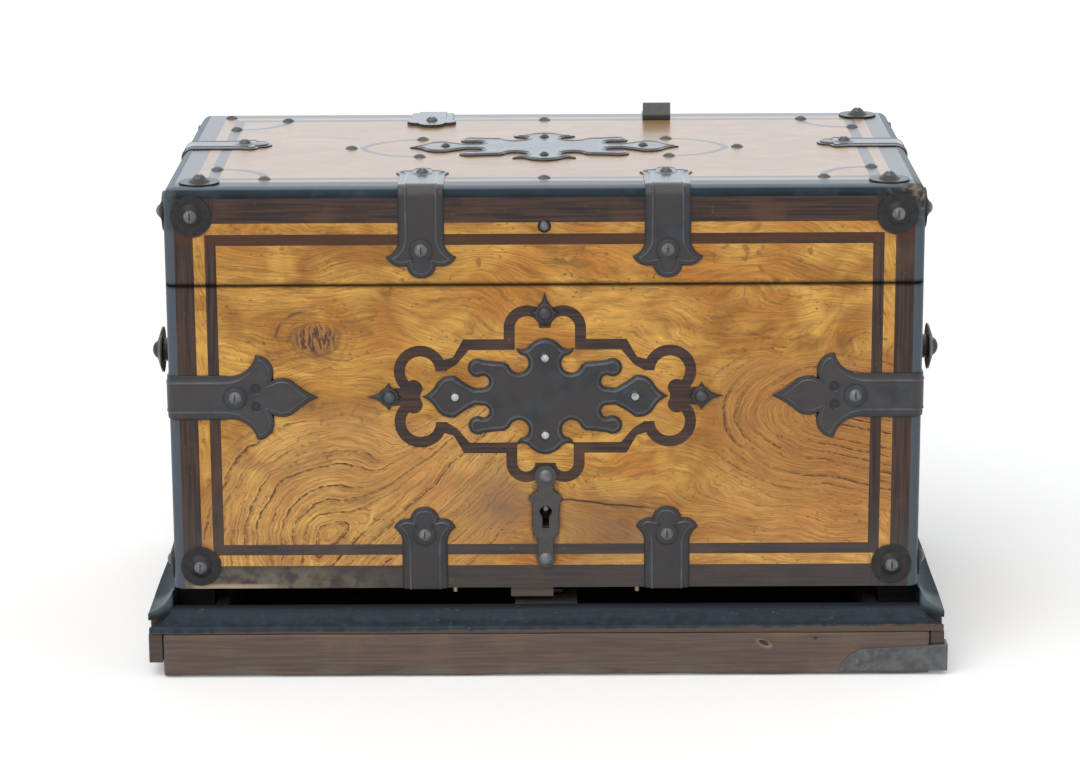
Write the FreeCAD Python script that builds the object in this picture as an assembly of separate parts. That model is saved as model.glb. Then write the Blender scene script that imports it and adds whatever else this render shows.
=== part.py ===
import FreeCAD, Part
import os
from FreeCAD import Vector

# Iron bound elm table coffer: a chest with a deep hinged lid, on a moulded plinth that hides a drawer.
# Millimetres. X runs to the right, Y to the back and Z up. The origin is on the table, under the middle.

# Overall sizes of the chest
body_width = 360.0
body_depth = 202.0
body_height = 150.0
lid_height = 46.8
seam_gap = 0.4
plinth_height = 41.5

# Boards, veneer and the rounded strips on the edges
core = 10.5
veneer = 1.5
floor_thickness = 10.5
strip_radius = 5.0

# Inlaid frame on every face: dark band, elm line, dark line, elm panel
band_stile = 9.0
band_rail = 11.3
lid_band_rail = 12.0
elm_line = 5.4
dark_line = 5.3

# Iron straps, bent over an edge, with a lower border each side of a raised rib
strap_width = 21.7
strap_rib_width = 14.3
strap_base = 0.9
strap_rise = 1.6
strap_offset = 58.3
strap_leg = 20.0
bottom_strap_leg = 22.0
bottom_strap_return = 16.0
corner_strap_leg = 22.0
lid_side_strap_back = 9.0
neck_overlap = 1.0
screw_past_neck = 5.0

# Trefoil and lily heads of the straps; the lobes are widest on the front of the lid and narrowest on its top
front_head_lobe = 16.6
top_head_lobe = 12.6
foot_head_lobe = 14.8
head_lobe_at = 8.4
head_notch = 6.8
head_notch_at = 12.6
head_length = 18.6
lily_lobe = 20.8
lily_lobe_at = 15.2
lily_notch = 8.0
lily_notch_at = 22.3
lily_leaf = 7.4
lily_leaf_at = 33.2
lily_length = 44.6
lily_hole_radius = 1.1
lily_hole_offset = 4.5
lily_hole_at = 15.0

# Pierced iron mounts in the middle of the front and of the lid
mount_thickness = 1.7
front_mount_half_length = 58.6
front_mount_half_height = 28.6
lid_mount_half_length = 67.0
lid_mount_half_height = 36.5
mount_rivet_radius = 1.9
mount_rivet_height = 0.9
mount_rivet_along = 43.0
mount_rivet_across = 19.0

# Strapwork inlay round the mounts, and how far its arches lie below the seam
inlay_width = 5.3
inlay_margin = 9.9
end_loop_x = 59.5
end_loop_z = 12.5
end_loop_radius = 12.6
arch_x = 8.5
arch_z = 33.5
arch_radius = 11.1
hanger_x = 9.2
hanger_z = -33.0
hanger_radius = 9.6
bar_top = 28.1
bar_end = 38.9
elbow_x = 43.8
elbow_z = 19.4
bud_x = 62.8
bud_z = 4.0
bud_radius = 4.3
bud_stem_half = 4.4

# Inlay of the lid: a pointed arch beyond each end of the mount, between studs, and arcs in the corners
lid_arch_start_x = 61.3
lid_arch_start_y = 23.5
lid_arch_width = 3.4
lid_arch_tip_x = 92.0
corner_arc_radius = 24.0
corner_arc_width = 4.0

# Star shaped bosses at the ends of the strapwork
star_tip = 10.3
star_barb = 6.8
star_tail = 6.0
star_disc_radius = 4.6
star_plate = 1.4
star_dome_radius = 3.2
star_dome_height = 2.4
top_star_z = 40.8
end_star_x = 74.5

# Key plate on the front, its room below the mount and above the bottom edge, and the keyhole
key_plate_thickness = 1.8
keyhole_radius = 3.0
keyhole_slot = 3.2
keyhole_drop = 8.1
key_plate_half = 6.2
key_plate_shoulder = 8.2
key_plate_top = 7.0
key_plate_bottom = 9.8
key_stem_half = 3.5
key_boss_up = 17.9
key_boss_radius = 5.2
key_foot_down = 23.7
key_foot_radius = 4.2
key_plate_gap = 5.4
key_foot_margin = 10.5

# Domed washers, screws and studs
boss_inset = 13.2
boss_inset_low = 11.3
boss_inset_top = 16.5
washer_rim_radius = 9.6
washer_rim = 0.9
washer_radius = 6.4
washer_dome = 3.2
washer_flat = 2.5
screw_head_radius = 3.15
screw_head_height = 1.9
screw_slot_width = 0.8
screw_slot_depth = 0.9
shank_radius = 1.5
shank_clearance = 0.05
stud_radius = 3.2
stud_height = 1.5
front_stud_drop = 18.8
end_stud_x = 96.0

# Hinges at the back of the lid
knuckle_radius = 3.2
knuckle_clearance = 0.3
knuckle_gap = 0.2
pin_radius = 1.5
pin_clearance = 0.05
pin_end = 0.8
leaf_drop = 40.0
bent_tab_height = 8.8
bent_tab_reach = 17.0

# Drop handles on the two ends
post_spacing = 76.0
strap_post_gap = 5.4
post_rise = 104.0
post_base_radius = 14.0
post_base_height = 1.6
post_neck_radius = 6.0
post_neck_height = 6.8
post_cap_radius = 11.4
post_cap_rim = 0.8
post_cap_height = 2.0
post_cap_top_radius = 5.4
post_head_radius = 4.8
post_head_height = 2.8
bail_offset = 4.6
bail_radius = 2.0
bail_drop = 36.0
bail_arm = 21.0
bail_stub = 36.0
bail_bend = 6.0
bail_clearance = 0.05

# Plinth round the foot: boards with a hollow moulding on top, two bearers inside
plinth_run = 12.0
plinth_foot = 0.4
plinth_board = 21.6
front_drop = 7.2
moulding_height = 11.3
moulding_fillet = 3.7
moulding_top = 1.0
moulding_hollow_run = 4.9
moulding_hollow_rise = 5.9
side_board_end = 1.0
bearer_width = 18.0
bearer_setback = 14.0
lip_width = 8.0
lip_height = 4.2
front_lap = 5.0
lap_clearance = 0.5
mitre_gap = 0.4
running_gap = 0.3
fillet_left = -17.0
fillet_right = 3.5
fillet_height = 5.5
fillet_depth = 10.0
fillet_setback = 3.0
brass_pin_radius = 1.3
brass_pin_length = 3.0
brass_pin_offset = 44.0
brass_pin_setback = 4.0

# Drawer in the plinth
drawer_side = 6.0
drawer_side_clearance = 0.8
drawer_top = 30.0
drawer_rear_gap = 11.0
drawer_floor = 4.0
drawer_floor_rise = 0.6
bracket_length = 51.0
bracket_height = 13.0
bracket_foot = 2.0
bracket_thickness = 1.4
bracket_proud = 0.4
bracket_wrap = 9.0
bracket_tip_height = 6.0
bracket_nail_radius = 1.6
bracket_nail_height = 0.9
bracket_nail_from_end = 9.0

# Lock behind the key plate, with a bolt that drops into the drawer's strike
lock_width = 52.0
lock_height = 48.0
lock_depth = 12.5
lock_wall = 1.5
lock_lift = 1.0
lock_pin_radius = 1.2
lock_pin_setback = 4.0
bolt_width = 16.0
bolt_thickness = 6.0
bolt_from_wall = 3.0
bolt_below_body = 4.0
bolt_top_below_pin = 6.9
bolt_clearance = 0.3
talon_radius = 4.0
strike_width = 30.0
strike_plate = 1.6
strike_reach = 26.0
strike_drop = 19.0

# Heights and half sizes that follow from the sizes above
half_width = body_width / 2
half_depth = body_depth / 2
body_bottom = plinth_height
seam = body_bottom + body_height
lid_bottom = seam + seam_gap
lid_top = lid_bottom + lid_height
wall = core + veneer
inner_width = half_width - wall
inner_depth = half_depth - wall
strip_width = half_width - strip_radius
strip_depth = half_depth - strip_radius
core_width = half_width - veneer
core_depth = half_depth - veneer
corner_side_leg = strip_depth - post_spacing / 2 - post_base_radius - strap_post_gap - head_length
plinth_width = half_width + plinth_run
plinth_depth = half_depth + plinth_run
side_foot = plinth_foot + front_drop
front_board_top = plinth_foot + plinth_board
side_board_top = side_foot + plinth_board
drawer_front_half = half_width + front_lap
bearer_inner = half_width - bearer_width
drawer_half = bearer_inner - drawer_side_clearance
drawer_foot = lip_height + running_gap
drawer_length = body_depth - drawer_rear_gap

# The ornament of the front is drawn to fill its height, from the seam down to the bottom edge
mount_down = inlay_margin + arch_z + arch_radius
mount_to_key = front_mount_half_height + key_plate_gap + key_boss_radius + key_boss_up
key_up = key_foot_margin + key_foot_radius + key_foot_down
front_scale = body_height / (mount_down + mount_to_key + key_up)
mount_z = seam - mount_down * front_scale
keyhole_z = body_bottom + key_up * front_scale
front_mount_length = front_mount_half_length * front_scale
front_mount_height = front_mount_half_height * front_scale
boss_up = key_boss_up * front_scale
foot_down = key_foot_down * front_scale

FRONT = Vector(0, -1, 0)
BACK = Vector(0, 1, 0)
LEFT = Vector(-1, 0, 0)
RIGHT = Vector(1, 0, 0)
UP = Vector(0, 0, 1)
DOWN = Vector(0, 0, -1)

os.makedirs("parts", exist_ok=True)


def save(node, *solids):
    """Write one node's solids to its own file."""
    shape = solids[0] if len(solids) == 1 else Part.makeCompound(list(solids))
    shape.exportStep("parts/" + node + ".step")


def block(x0, x1, y0, y1, z0, z1):
    """A box between two corners."""
    return Part.makeBox(x1 - x0, y1 - y0, z1 - z0, Vector(x0, y0, z0))


def placed(shape, origin, across, along, out):
    """Turn a shape so that its X, Y and Z follow three directions, and move it to a point."""
    matrix = FreeCAD.Matrix(across.x, along.x, out.x, origin.x, across.y, along.y, out.y, origin.y,
                            across.z, along.z, out.z, origin.z, 0, 0, 0, 1)
    return shape.transformed(matrix)


def seat(shape, origin, out, along):
    """Stand a shape drawn in XY on a face that looks out, with its Y running along."""
    return placed(shape, origin, along.cross(out), along, out)


def joined(solids):
    """One solid out of several that touch."""
    return solids[0].fuse(list(solids[1:])).removeSplitter()


def outline(start, steps):
    """A closed face from a start and steps: two numbers are a line, four an arc by way of a point."""
    edges = []
    here = Vector(start[0], start[1], 0)
    for step in steps:
        end = Vector(step[-2], step[-1], 0)
        if len(step) == 4:
            edges.append(Part.Arc(here, Vector(step[0], step[1], 0), end).toShape())
        else:
            edges.append(Part.LineSegment(here, end).toShape())
        here = end
    return Part.Face(Part.Wire(edges))


def mirrored(start, steps, flip_x, flip_y):
    """Go on from the end of a half outline, back to its start along the mirrored side."""
    ends = [start] + [step[-2:] for step in steps]
    back = []
    for number in range(len(steps) - 1, -1, -1):
        way = list(steps[number][:-2]) + list(ends[number])
        signs = [flip_x, flip_y] * (len(way) // 2)
        back.append(tuple(value * sign for value, sign in zip(way, signs)))
    return list(steps) + back


def disc(x, y, radius, thickness):
    """A round plate in XY."""
    return Part.makeCylinder(radius, thickness, Vector(x, y, 0))


def dome(radius, height):
    """A round cap on XY."""
    slope = 0.7071
    ball = (radius * radius + height * height) / (2 * height)
    middle = height - ball
    lean = (ball * ball - (radius * slope) ** 2) ** 0.5
    cap = outline((0, 0), [(radius, 0), (radius * slope, middle + lean, 0, height), (0, 0)])
    upright = cap.rotated(Vector(0, 0, 0), Vector(1, 0, 0), 90)
    return upright.revolve(Vector(0, 0, 0), UP, 360)


def quarter_round(start, length, along, first):
    """A quarter round rod along an edge, its first flat face starting in one direction."""
    rod = Part.makeCylinder(strip_radius, length, Vector(0, 0, 0), UP, 90)
    return placed(rod, start, first, along.cross(first), along)


def slotted_head(radius, height):
    """A round screw head with a slot across it."""
    slot = block(-screw_slot_width / 2, screw_slot_width / 2, -radius, radius,
                 height - screw_slot_depth, height)
    return dome(radius, height).cut(slot)


def screw(grip):
    """A round headed screw standing on XY, with its shank through a piece of the given thickness."""
    head = slotted_head(screw_head_radius, screw_head_height)
    shank = Part.makeCylinder(shank_radius, grip + screw_slot_depth, Vector(0, 0, 0))
    return joined([head.translated(Vector(0, 0, grip)), shank.cut(
        disc(0, 0, shank_radius, screw_slot_depth).translated(Vector(0, 0, grip + screw_slot_depth)))])


def screw_hole(grip):
    """The hole that a screw needs in the piece that it holds."""
    return disc(0, 0, shank_radius + shank_clearance, grip)


def washer():
    """A domed washer with a broad rim and a flat top for its screw."""
    flat = disc(0, 0, washer_radius, washer_flat)
    rimmed = joined([dome(washer_radius, washer_dome).common(flat), disc(0, 0, washer_rim_radius, washer_rim)])
    return rimmed.cut(screw_hole(washer_flat))


def insets(rail):
    """How far the layers of an inlaid frame lie in from an edge; an open edge has no rail."""
    if rail == 0:
        return [0.0, 0.0, 0.0, 0.0]
    return [0.0, rail, rail + elm_line, rail + elm_line + dark_line]


def framed_face(half, low, high, low_rail, high_rail):
    """The four layers of an inlaid face, in XY with the face up: band, elm line, dark line, panel."""
    boxes = []
    for side, below, above in zip(insets(band_stile), insets(low_rail), insets(high_rail)):
        boxes.append(block(-half + side, half - side, low + below, high - above, -veneer, 0))
    layers = [outer.cut(inner) for outer, inner in zip(boxes[:-1], boxes[1:])]
    return layers + [boxes[-1]]


def bent_band(bend, leg_a, leg_b, rise, width):
    """A flat bar bent round an edge: leg A lies on the face towards X, leg B on the face towards Y."""
    low = Vector(0, 0, -width / 2)
    outer = Part.makeCylinder(bend + rise, width, low, UP, 90)
    pieces = [block(bend, bend + rise, -leg_a, 0, -width / 2, width / 2),
              block(-leg_b, 0, bend, bend + rise, -width / 2, width / 2)]
    if bend > 0:
        outer = outer.cut(Part.makeCylinder(bend, width, low, UP, 90))
    return joined(pieces + [outer])


def trefoil_head(lobe):
    """The three lobed end of a strap, from its neck at Y 0."""
    half = strap_width / 2
    start = (0, -neck_overlap)
    steps = [(half, -neck_overlap), (half, 0),
             (half + 0.2 * (lobe - half), 0.57 * head_lobe_at, lobe, head_lobe_at),
             (0.84 * lobe, 0.92 * head_notch_at, head_notch, head_notch_at),
             (0.72 * head_notch, 0.905 * head_length, 0, head_length)]
    plate = outline(start, mirrored(start, steps, -1, 1)).extrude(Vector(0, 0, strap_rise))
    return plate.cut(screw_hole(strap_rise).translated(Vector(0, screw_past_neck, 0)))


def lily_head():
    """The lily shaped end of a corner strap, from its neck at Y 0."""
    half = strap_width / 2
    start = (0, -neck_overlap)
    steps = [(half, -neck_overlap), (half, 0),
             (0.6 * lily_lobe, 0.62 * lily_lobe_at, lily_lobe, lily_lobe_at),
             (0.84 * lily_lobe, 0.97 * lily_notch_at, lily_notch, lily_notch_at),
             (1.18 * lily_notch, 0.78 * lily_leaf_at, lily_leaf, lily_leaf_at),
             (0.5 * lily_leaf, 0.85 * lily_length, 0, lily_length)]
    plate = outline(start, mirrored(start, steps, -1, 1)).extrude(Vector(0, 0, strap_rise))
    for side in (-1, 1):
        plate = plate.cut(disc(side * lily_hole_offset, lily_hole_at, lily_hole_radius, strap_rise))
    return plate.cut(screw_hole(strap_rise).translated(Vector(0, screw_past_neck, 0)))


def strap(corner, out_a, out_b, bend, leg_a, leg_b, head_a, head_b, screws):
    """A strap bent round an edge, with a head at the end of each leg that has one, and their screws."""
    side = out_a.cross(out_b)
    band = joined([bent_band(bend, leg_a, leg_b, strap_base, strap_width),
                   bent_band(bend, leg_a, leg_b, strap_rise, strap_rib_width)])
    pieces = [placed(band, corner, out_a, out_b, side)]
    for out, along, leg, head in ((out_a, -out_b, leg_a, head_a), (out_b, -out_a, leg_b, head_b)):
        if head is None:
            continue
        neck = corner + out * bend + along * leg
        pieces.append(seat(head, neck, out, along))
        slot_way = BACK if abs(out.z) > 0.5 else UP
        screws.append(seat(screw(strap_rise), neck + along * screw_past_neck, out, slot_way))
    return joined(pieces)


def mount_plate(half_length, half_height):
    """The pierced iron mount: one quarter outline, in shares of its half sizes, mirrored twice."""
    start = (0, half_height)
    quarter = [(0.072, 0.958, 0.130, 0.860), (0.174, 0.811, 0.232, 0.832), (0.208, 0.741, 0.162, 0.703),
               (0.171, 0.430, 0.294, 0.531), (0.331, 0.587), (0.418, 0.601, 0.510, 0.626),
               (0.626, 0.497, 0.512, 0.364), (0.454, 0.259, 0.509, 0.150), (0.570, 0.140),
               (0.647, 0.227, 0.729, 0.350), (0.831, 0.322, 0.891, 0.189), (0.937, 0.080, 1, 0)]
    sized = []
    for step in quarter:
        scales = [half_length, half_height] * (len(step) // 2)
        sized.append(tuple(value * scale for value, scale in zip(step, scales)))
    half = mirrored(start, sized, 1, -1)
    face = outline(start, mirrored(start, half, -1, 1))
    return face.extrude(Vector(0, 0, mount_thickness))


def mount_rivets(half_length, half_height):
    """Four rivet heads on the mount's top face."""
    along = mount_rivet_along * half_length / front_mount_half_length
    across = mount_rivet_across * half_height / front_mount_half_height
    head = dome(mount_rivet_radius, mount_rivet_height)
    spots = [(along, 0), (-along, 0), (0, across), (0, -across)]
    return [head.translated(Vector(x, y, mount_thickness)) for x, y in spots]


def loop(x, y, radius, width):
    """A ring of inlay."""
    return disc(x, y, radius, veneer).cut(disc(x, y, radius - width, veneer))


def strapwork(size):
    """The strapwork round a mount, in XY: end loops, bars, arches above and hangers below."""
    width = inlay_width * size
    loop_x, loop_y, loop_radius = end_loop_x * size, end_loop_z * size, end_loop_radius * size
    top, end, turn_x, turn_y = bar_top * size, bar_end * size, elbow_x * size, elbow_z * size
    stem_x, stem_half = bud_x * size, bud_stem_half * size
    inner_end = (arch_x + arch_radius) * size - width
    arches = ((arch_x * size, arch_z * size, arch_radius * size, 1),
              (hanger_x * size, hanger_z * size, hanger_radius * size, -1))
    quarter = []
    ring = loop(loop_x, loop_y, loop_radius, width)
    quarter.append(ring.cut(block(0, loop_x, -loop_radius, loop_y, 0, veneer)))
    arm = [(inner_end, top), (end, top), (turn_x, turn_y), (turn_x + width, turn_y - 0.3 * width),
           (turn_x + 0.7 * width, turn_y - 1.3 * width), (turn_x - 0.3 * width, turn_y - 0.7 * width),
           (end - width / 2, top - width), (inner_end, top - width)]
    quarter.append(outline(arm[-1], arm).extrude(Vector(0, 0, veneer)))
    quarter.append(block(stem_x, loop_x + loop_radius, 0, stem_half, 0, veneer))
    quarter.append(disc(stem_x, bud_z * size, bud_radius * size, veneer))
    right = quarter + [piece.mirror(Vector(0, 0, 0), BACK) for piece in quarter]
    for x, y, radius, level in arches:
        low, high = sorted((y, y + level * radius))
        right.append(loop(x, y, radius, width).common(block(0, x + radius, low, high, 0, veneer)))
        low, high = sorted((y, level * (top - width)))
        right.append(block(x + radius - width, x + radius, low, high, 0, veneer))
    return joined(right + [piece.mirror(Vector(0, 0, 0), RIGHT) for piece in right])


def pointed_arch():
    """A pointed arch of inlay in XY, open towards the middle, with its tip towards X."""
    faces = []
    for inside in (0, lid_arch_width):
        start = (lid_arch_start_x, lid_arch_start_y + lid_arch_width / 2 - inside)
        tip = lid_arch_tip_x - inside
        side = [(start[0] + 0.68 * (tip - start[0]), 0.67 * start[1], tip, 0)]
        faces.append(outline(start, mirrored(start, side, 1, -1) + [start]))
    return faces[0].cut(faces[1]).extrude(Vector(0, 0, veneer))


def star():
    """A star shaped boss with its long point towards Y."""
    start = (0, -star_tail)
    steps = [(0.34 * star_barb, -0.4 * star_tail, star_barb, 0),
             (0.42 * star_barb, 0.32 * star_tip, 0, star_tip)]
    plate = outline(start, mirrored(start, steps, -1, 1)).extrude(Vector(0, 0, star_plate))
    cap = dome(star_dome_radius, star_dome_height).translated(Vector(0, 0, star_plate))
    return joined([plate, disc(0, 0, star_disc_radius, star_plate), cap])


def keyhole(depth):
    """The keyhole's shape, drawn round its pin."""
    slot = block(-keyhole_slot / 2, keyhole_slot / 2, -keyhole_drop, 0, 0, depth)
    return joined([disc(0, 0, keyhole_radius, depth), slot])


def moulding(inner_half, gap):
    """A hollow moulding along X with its back at Y 0, its face towards minus Y and mitred ends."""
    profile = [(plinth_run, 0), (plinth_run, moulding_fillet),
               (moulding_hollow_run, moulding_hollow_rise, moulding_top, moulding_height),
               (0, moulding_height), (0, 0)]
    reach = inner_half + plinth_run
    bar = outline((0, 0), profile).extrude(Vector(0, 0, 2 * reach))
    bar = placed(bar, Vector(-reach, 0, 0), FRONT, UP, RIGHT)
    plan = [(-inner_half + gap, 0), (inner_half - gap, 0), (reach - gap, -plinth_run),
            (-reach + gap, -plinth_run)]
    return bar.common(outline(plan[-1], plan).extrude(Vector(0, 0, moulding_height)))


# Carcass boards: the ends tongue past the front and back boards, behind the corner strips
front_pin = Vector(0, -half_depth, keyhole_z)
keyway = seat(keyhole(wall), front_pin + BACK * wall, FRONT, UP)
front_board = block(-strip_width, strip_width, -core_depth, -inner_depth, body_bottom, seam).cut(keyway)
save("front_board", front_board)
save("back_board", block(-strip_width, strip_width, inner_depth, core_depth, body_bottom, seam))
right_board = joined([block(inner_width, core_width, -inner_depth, inner_depth, body_bottom, seam),
                      block(strip_width, core_width, -strip_depth, strip_depth, body_bottom, seam)])
save("right_board", right_board)
save("left_board", right_board.mirror(Vector(0, 0, 0), RIGHT))
bolt_y = -inner_depth + bolt_from_wall + bolt_thickness / 2
bolt_slot = block(-bolt_width / 2 - bolt_clearance, bolt_width / 2 + bolt_clearance,
                  bolt_y - bolt_thickness / 2 - bolt_clearance, bolt_y + bolt_thickness / 2 + bolt_clearance,
                  0, keyhole_z)
floor_top = body_bottom + floor_thickness
floor = block(-inner_width, inner_width, -inner_depth, inner_depth, body_bottom, floor_top)
save("floor_board", floor.cut(bolt_slot))

# Rounded strips on the corners of the carcass
corner_turns = ((1, 1, RIGHT), (-1, 1, BACK), (-1, -1, LEFT), (1, -1, FRONT))
save("body_corner_strips", *[quarter_round(Vector(x * strip_width, y * strip_depth, body_bottom), body_height,
                                           UP, first) for x, y, first in corner_turns])

# Veneer on the carcass: each frame is open at the seam, and the strapwork is let into the front
body_elm = []
body_dark = []
sides = ((FRONT, half_depth, strip_width), (BACK, half_depth, strip_width),
         (LEFT, half_width, strip_depth), (RIGHT, half_width, strip_depth))
strapwork_place = Vector(0, -half_depth + veneer, mount_z)
strapwork_inlay = seat(strapwork(front_scale), strapwork_place, FRONT, UP)
for out, reach, half in sides:
    band, line, string, panel = framed_face(half, body_bottom, seam, band_rail, 0)
    dark = [seat(piece, out * reach, out, UP) for piece in (band, string)]
    elm = [seat(piece, out * reach, out, UP) for piece in (line, panel)]
    if out == FRONT:
        elm[1] = elm[1].cut(strapwork_inlay).cut(keyway)
    body_dark += dark
    body_elm += elm
save("body_elm_veneer", *body_elm)
save("body_dark_banding", *body_dark)
save("front_strapwork_inlay", strapwork_inlay.cut(keyway))

# Iron mount on the front with the star bosses of the strapwork and the key plate below
mount_place = Vector(0, -half_depth, mount_z)
front_mount = mount_plate(front_mount_length, front_mount_height)
save("front_mount", seat(front_mount, mount_place, FRONT, UP))
stars = [seat(star(), mount_place + UP * (top_star_z * front_scale), FRONT, UP),
         seat(star(), mount_place + RIGHT * (end_star_x * front_scale), FRONT, RIGHT),
         seat(star(), mount_place + LEFT * (end_star_x * front_scale), FRONT, LEFT)]
save("strapwork_bosses", *stars)
shoulder = outline((key_stem_half, boss_up),
                   [(key_stem_half, key_plate_top + key_stem_half), (key_plate_shoulder, key_plate_top),
                    (key_plate_half, key_plate_top - key_stem_half), (key_plate_half, -key_plate_bottom),
                    (key_stem_half, -key_plate_bottom - key_stem_half), (key_stem_half, -foot_down),
                    (-key_stem_half, -foot_down), (-key_stem_half, -key_plate_bottom - key_stem_half),
                    (-key_plate_half, -key_plate_bottom), (-key_plate_half, key_plate_top - key_stem_half),
                    (-key_plate_shoulder, key_plate_top), (-key_stem_half, key_plate_top + key_stem_half),
                    (-key_stem_half, boss_up), (key_stem_half, boss_up)])
key_plate = joined([shoulder.extrude(Vector(0, 0, key_plate_thickness)),
                    disc(0, boss_up, key_boss_radius * front_scale, key_plate_thickness),
                    disc(0, -foot_down, key_foot_radius * front_scale, key_plate_thickness)])
save("key_plate", seat(key_plate.cut(keyhole(key_plate_thickness)), front_pin, FRONT, UP))

# Straps of the carcass: two bent under the bottom edge, two round the front corners
body_screws = []
for name, side in (("left", -1), ("right", 1)):
    edge = Vector(side * strap_offset, -half_depth, body_bottom)
    save("bottom_strap_" + name, strap(edge, FRONT, DOWN, 0, bottom_strap_leg, bottom_strap_return,
                                       trefoil_head(foot_head_lobe), None, body_screws))
    corner = Vector(side * strip_width, -strip_depth, mount_z)
    save("corner_strap_" + name, strap(corner, FRONT, RIGHT * side, strip_radius, corner_strap_leg,
                                       corner_side_leg, lily_head(), trefoil_head(foot_head_lobe), body_screws))

# Washers, screws and studs of the carcass
body_washers = []
for out, reach, half in (sides[0], sides[2], sides[3]):
    across = UP.cross(out)
    for side in (-1, 1):
        spot = out * reach + across * (side * (half + strip_radius - boss_inset))
        spot = spot + UP * (body_bottom + boss_inset_low)
        body_washers.append(seat(washer(), spot, out, UP))
        body_screws.append(seat(screw(washer_flat), spot, out, UP))
save("body_boss_washers", *body_washers)
stud = dome(stud_radius, stud_height)
body_studs = [seat(rivet, mount_place, FRONT, UP)
              for rivet in mount_rivets(front_mount_length, front_mount_height)]
for drop in (-boss_up, foot_down):
    body_studs.append(seat(stud, front_pin + FRONT * key_plate_thickness + DOWN * drop, FRONT, UP))
save("body_studs", *body_studs)

# Lock behind the front board, its drill pin standing in the keyhole, and the bolt
lock_bottom = floor_top + lock_lift
lock_back = -inner_depth + lock_depth
case = block(-lock_width / 2, lock_width / 2, -inner_depth, lock_back, lock_bottom, lock_bottom + lock_height)
hollow = block(-lock_width / 2 + lock_wall, lock_width / 2 - lock_wall, -inner_depth, lock_back - lock_wall,
               lock_bottom + lock_wall, lock_bottom + lock_height - lock_wall)
drill_pin = Part.makeCylinder(lock_pin_radius, lock_back - lock_wall + half_depth - lock_pin_setback,
                              Vector(0, -half_depth + lock_pin_setback, keyhole_z), BACK)
save("lock_case", joined([case.cut(hollow).cut(bolt_slot), drill_pin]))
bolt_top = keyhole_z - bolt_top_below_pin
bolt = block(-bolt_width / 2, bolt_width / 2, bolt_y - bolt_thickness / 2, bolt_y + bolt_thickness / 2,
             body_bottom - bolt_below_body, bolt_top)
talon_start = Vector(0, bolt_y - bolt_thickness / 2, bolt_top)
talon = Part.makeCylinder(talon_radius, bolt_thickness, talon_start, BACK)
save("lock_bolt", bolt.cut(talon))

# Handle posts on the two ends and the bails that hang between them
post_z = body_bottom + post_rise
post_bore = Part.makeCylinder(bail_radius + bail_clearance, post_base_radius, Vector(0, 0, bail_offset), BACK)
cap_low = post_base_height + post_neck_height
cap_cone = cap_low + post_cap_rim
post_cone = Part.makeCone(post_cap_radius, post_cap_top_radius, post_cap_height)
post_head = dome(post_head_radius, post_head_height)
post = joined([disc(0, 0, post_base_radius, post_base_height),
               disc(0, 0, post_neck_radius, cap_low),
               disc(0, 0, post_cap_radius, post_cap_rim).translated(UP * cap_low),
               post_cone.translated(UP * cap_cone),
               post_head.translated(UP * (cap_cone + post_cap_height))])
post = post.cut(post_bore)
posts = []
for name, out in (("left", LEFT), ("right", RIGHT)):
    for inward in (BACK, FRONT):
        spot = out * half_width - inward * (post_spacing / 2) + UP * post_z
        posts.append(seat(post, spot, out, inward))
    turn = bail_bend
    low = post_z - bail_drop
    line = out.x * (half_width + bail_offset)
    near = 0.2929 * turn
    legs = [(-bail_stub, post_z), (-bail_arm - turn, post_z), (-bail_arm, post_z - turn),
            (-bail_arm, low + turn), (-bail_arm + turn, low), (bail_arm - turn, low), (bail_arm, low + turn),
            (bail_arm, post_z - turn), (bail_arm + turn, post_z), (bail_stub, post_z)]
    bends = {1: (-bail_arm - near, post_z - near), 3: (-bail_arm + near, low + near),
             5: (bail_arm - near, low + near), 7: (bail_arm + near, post_z - near)}
    edges = []
    for number in range(len(legs) - 1):
        here = Vector(line, legs[number][0], legs[number][1])
        there = Vector(line, legs[number + 1][0], legs[number + 1][1])
        if number in bends:
            middle = Vector(line, bends[number][0], bends[number][1])
            edges.append(Part.Arc(here, middle, there).toShape())
        else:
            edges.append(Part.LineSegment(here, there).toShape())
    ring = Part.Wire(Part.makeCircle(bail_radius, Vector(line, -bail_stub, post_z), BACK))
    save("bail_" + name, Part.Wire(edges).makePipeShell([ring], True, False))
save("handle_posts", *posts)

# Lid boards: rails under the top board, tongued past the edge strips
rail_top = lid_top - wall
tongue_top = lid_top - strip_radius
lid_front_rail = joined([block(-strip_width, strip_width, -core_depth, -inner_depth, lid_bottom, rail_top),
                         block(-strip_width, strip_width, -core_depth, -strip_depth, lid_bottom, tongue_top)])
save("lid_front_rail", lid_front_rail)
save("lid_back_rail", lid_front_rail.mirror(Vector(0, 0, 0), BACK))
lid_right_rail = joined([block(inner_width, core_width, -inner_depth, inner_depth, lid_bottom, rail_top),
                         block(strip_width, core_width, -strip_depth, strip_depth, lid_bottom, tongue_top)])
save("lid_right_rail", lid_right_rail)
save("lid_left_rail", lid_right_rail.mirror(Vector(0, 0, 0), RIGHT))
save("lid_top_board", block(-strip_width, strip_width, -strip_depth, strip_depth, rail_top, lid_top - veneer))

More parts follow.
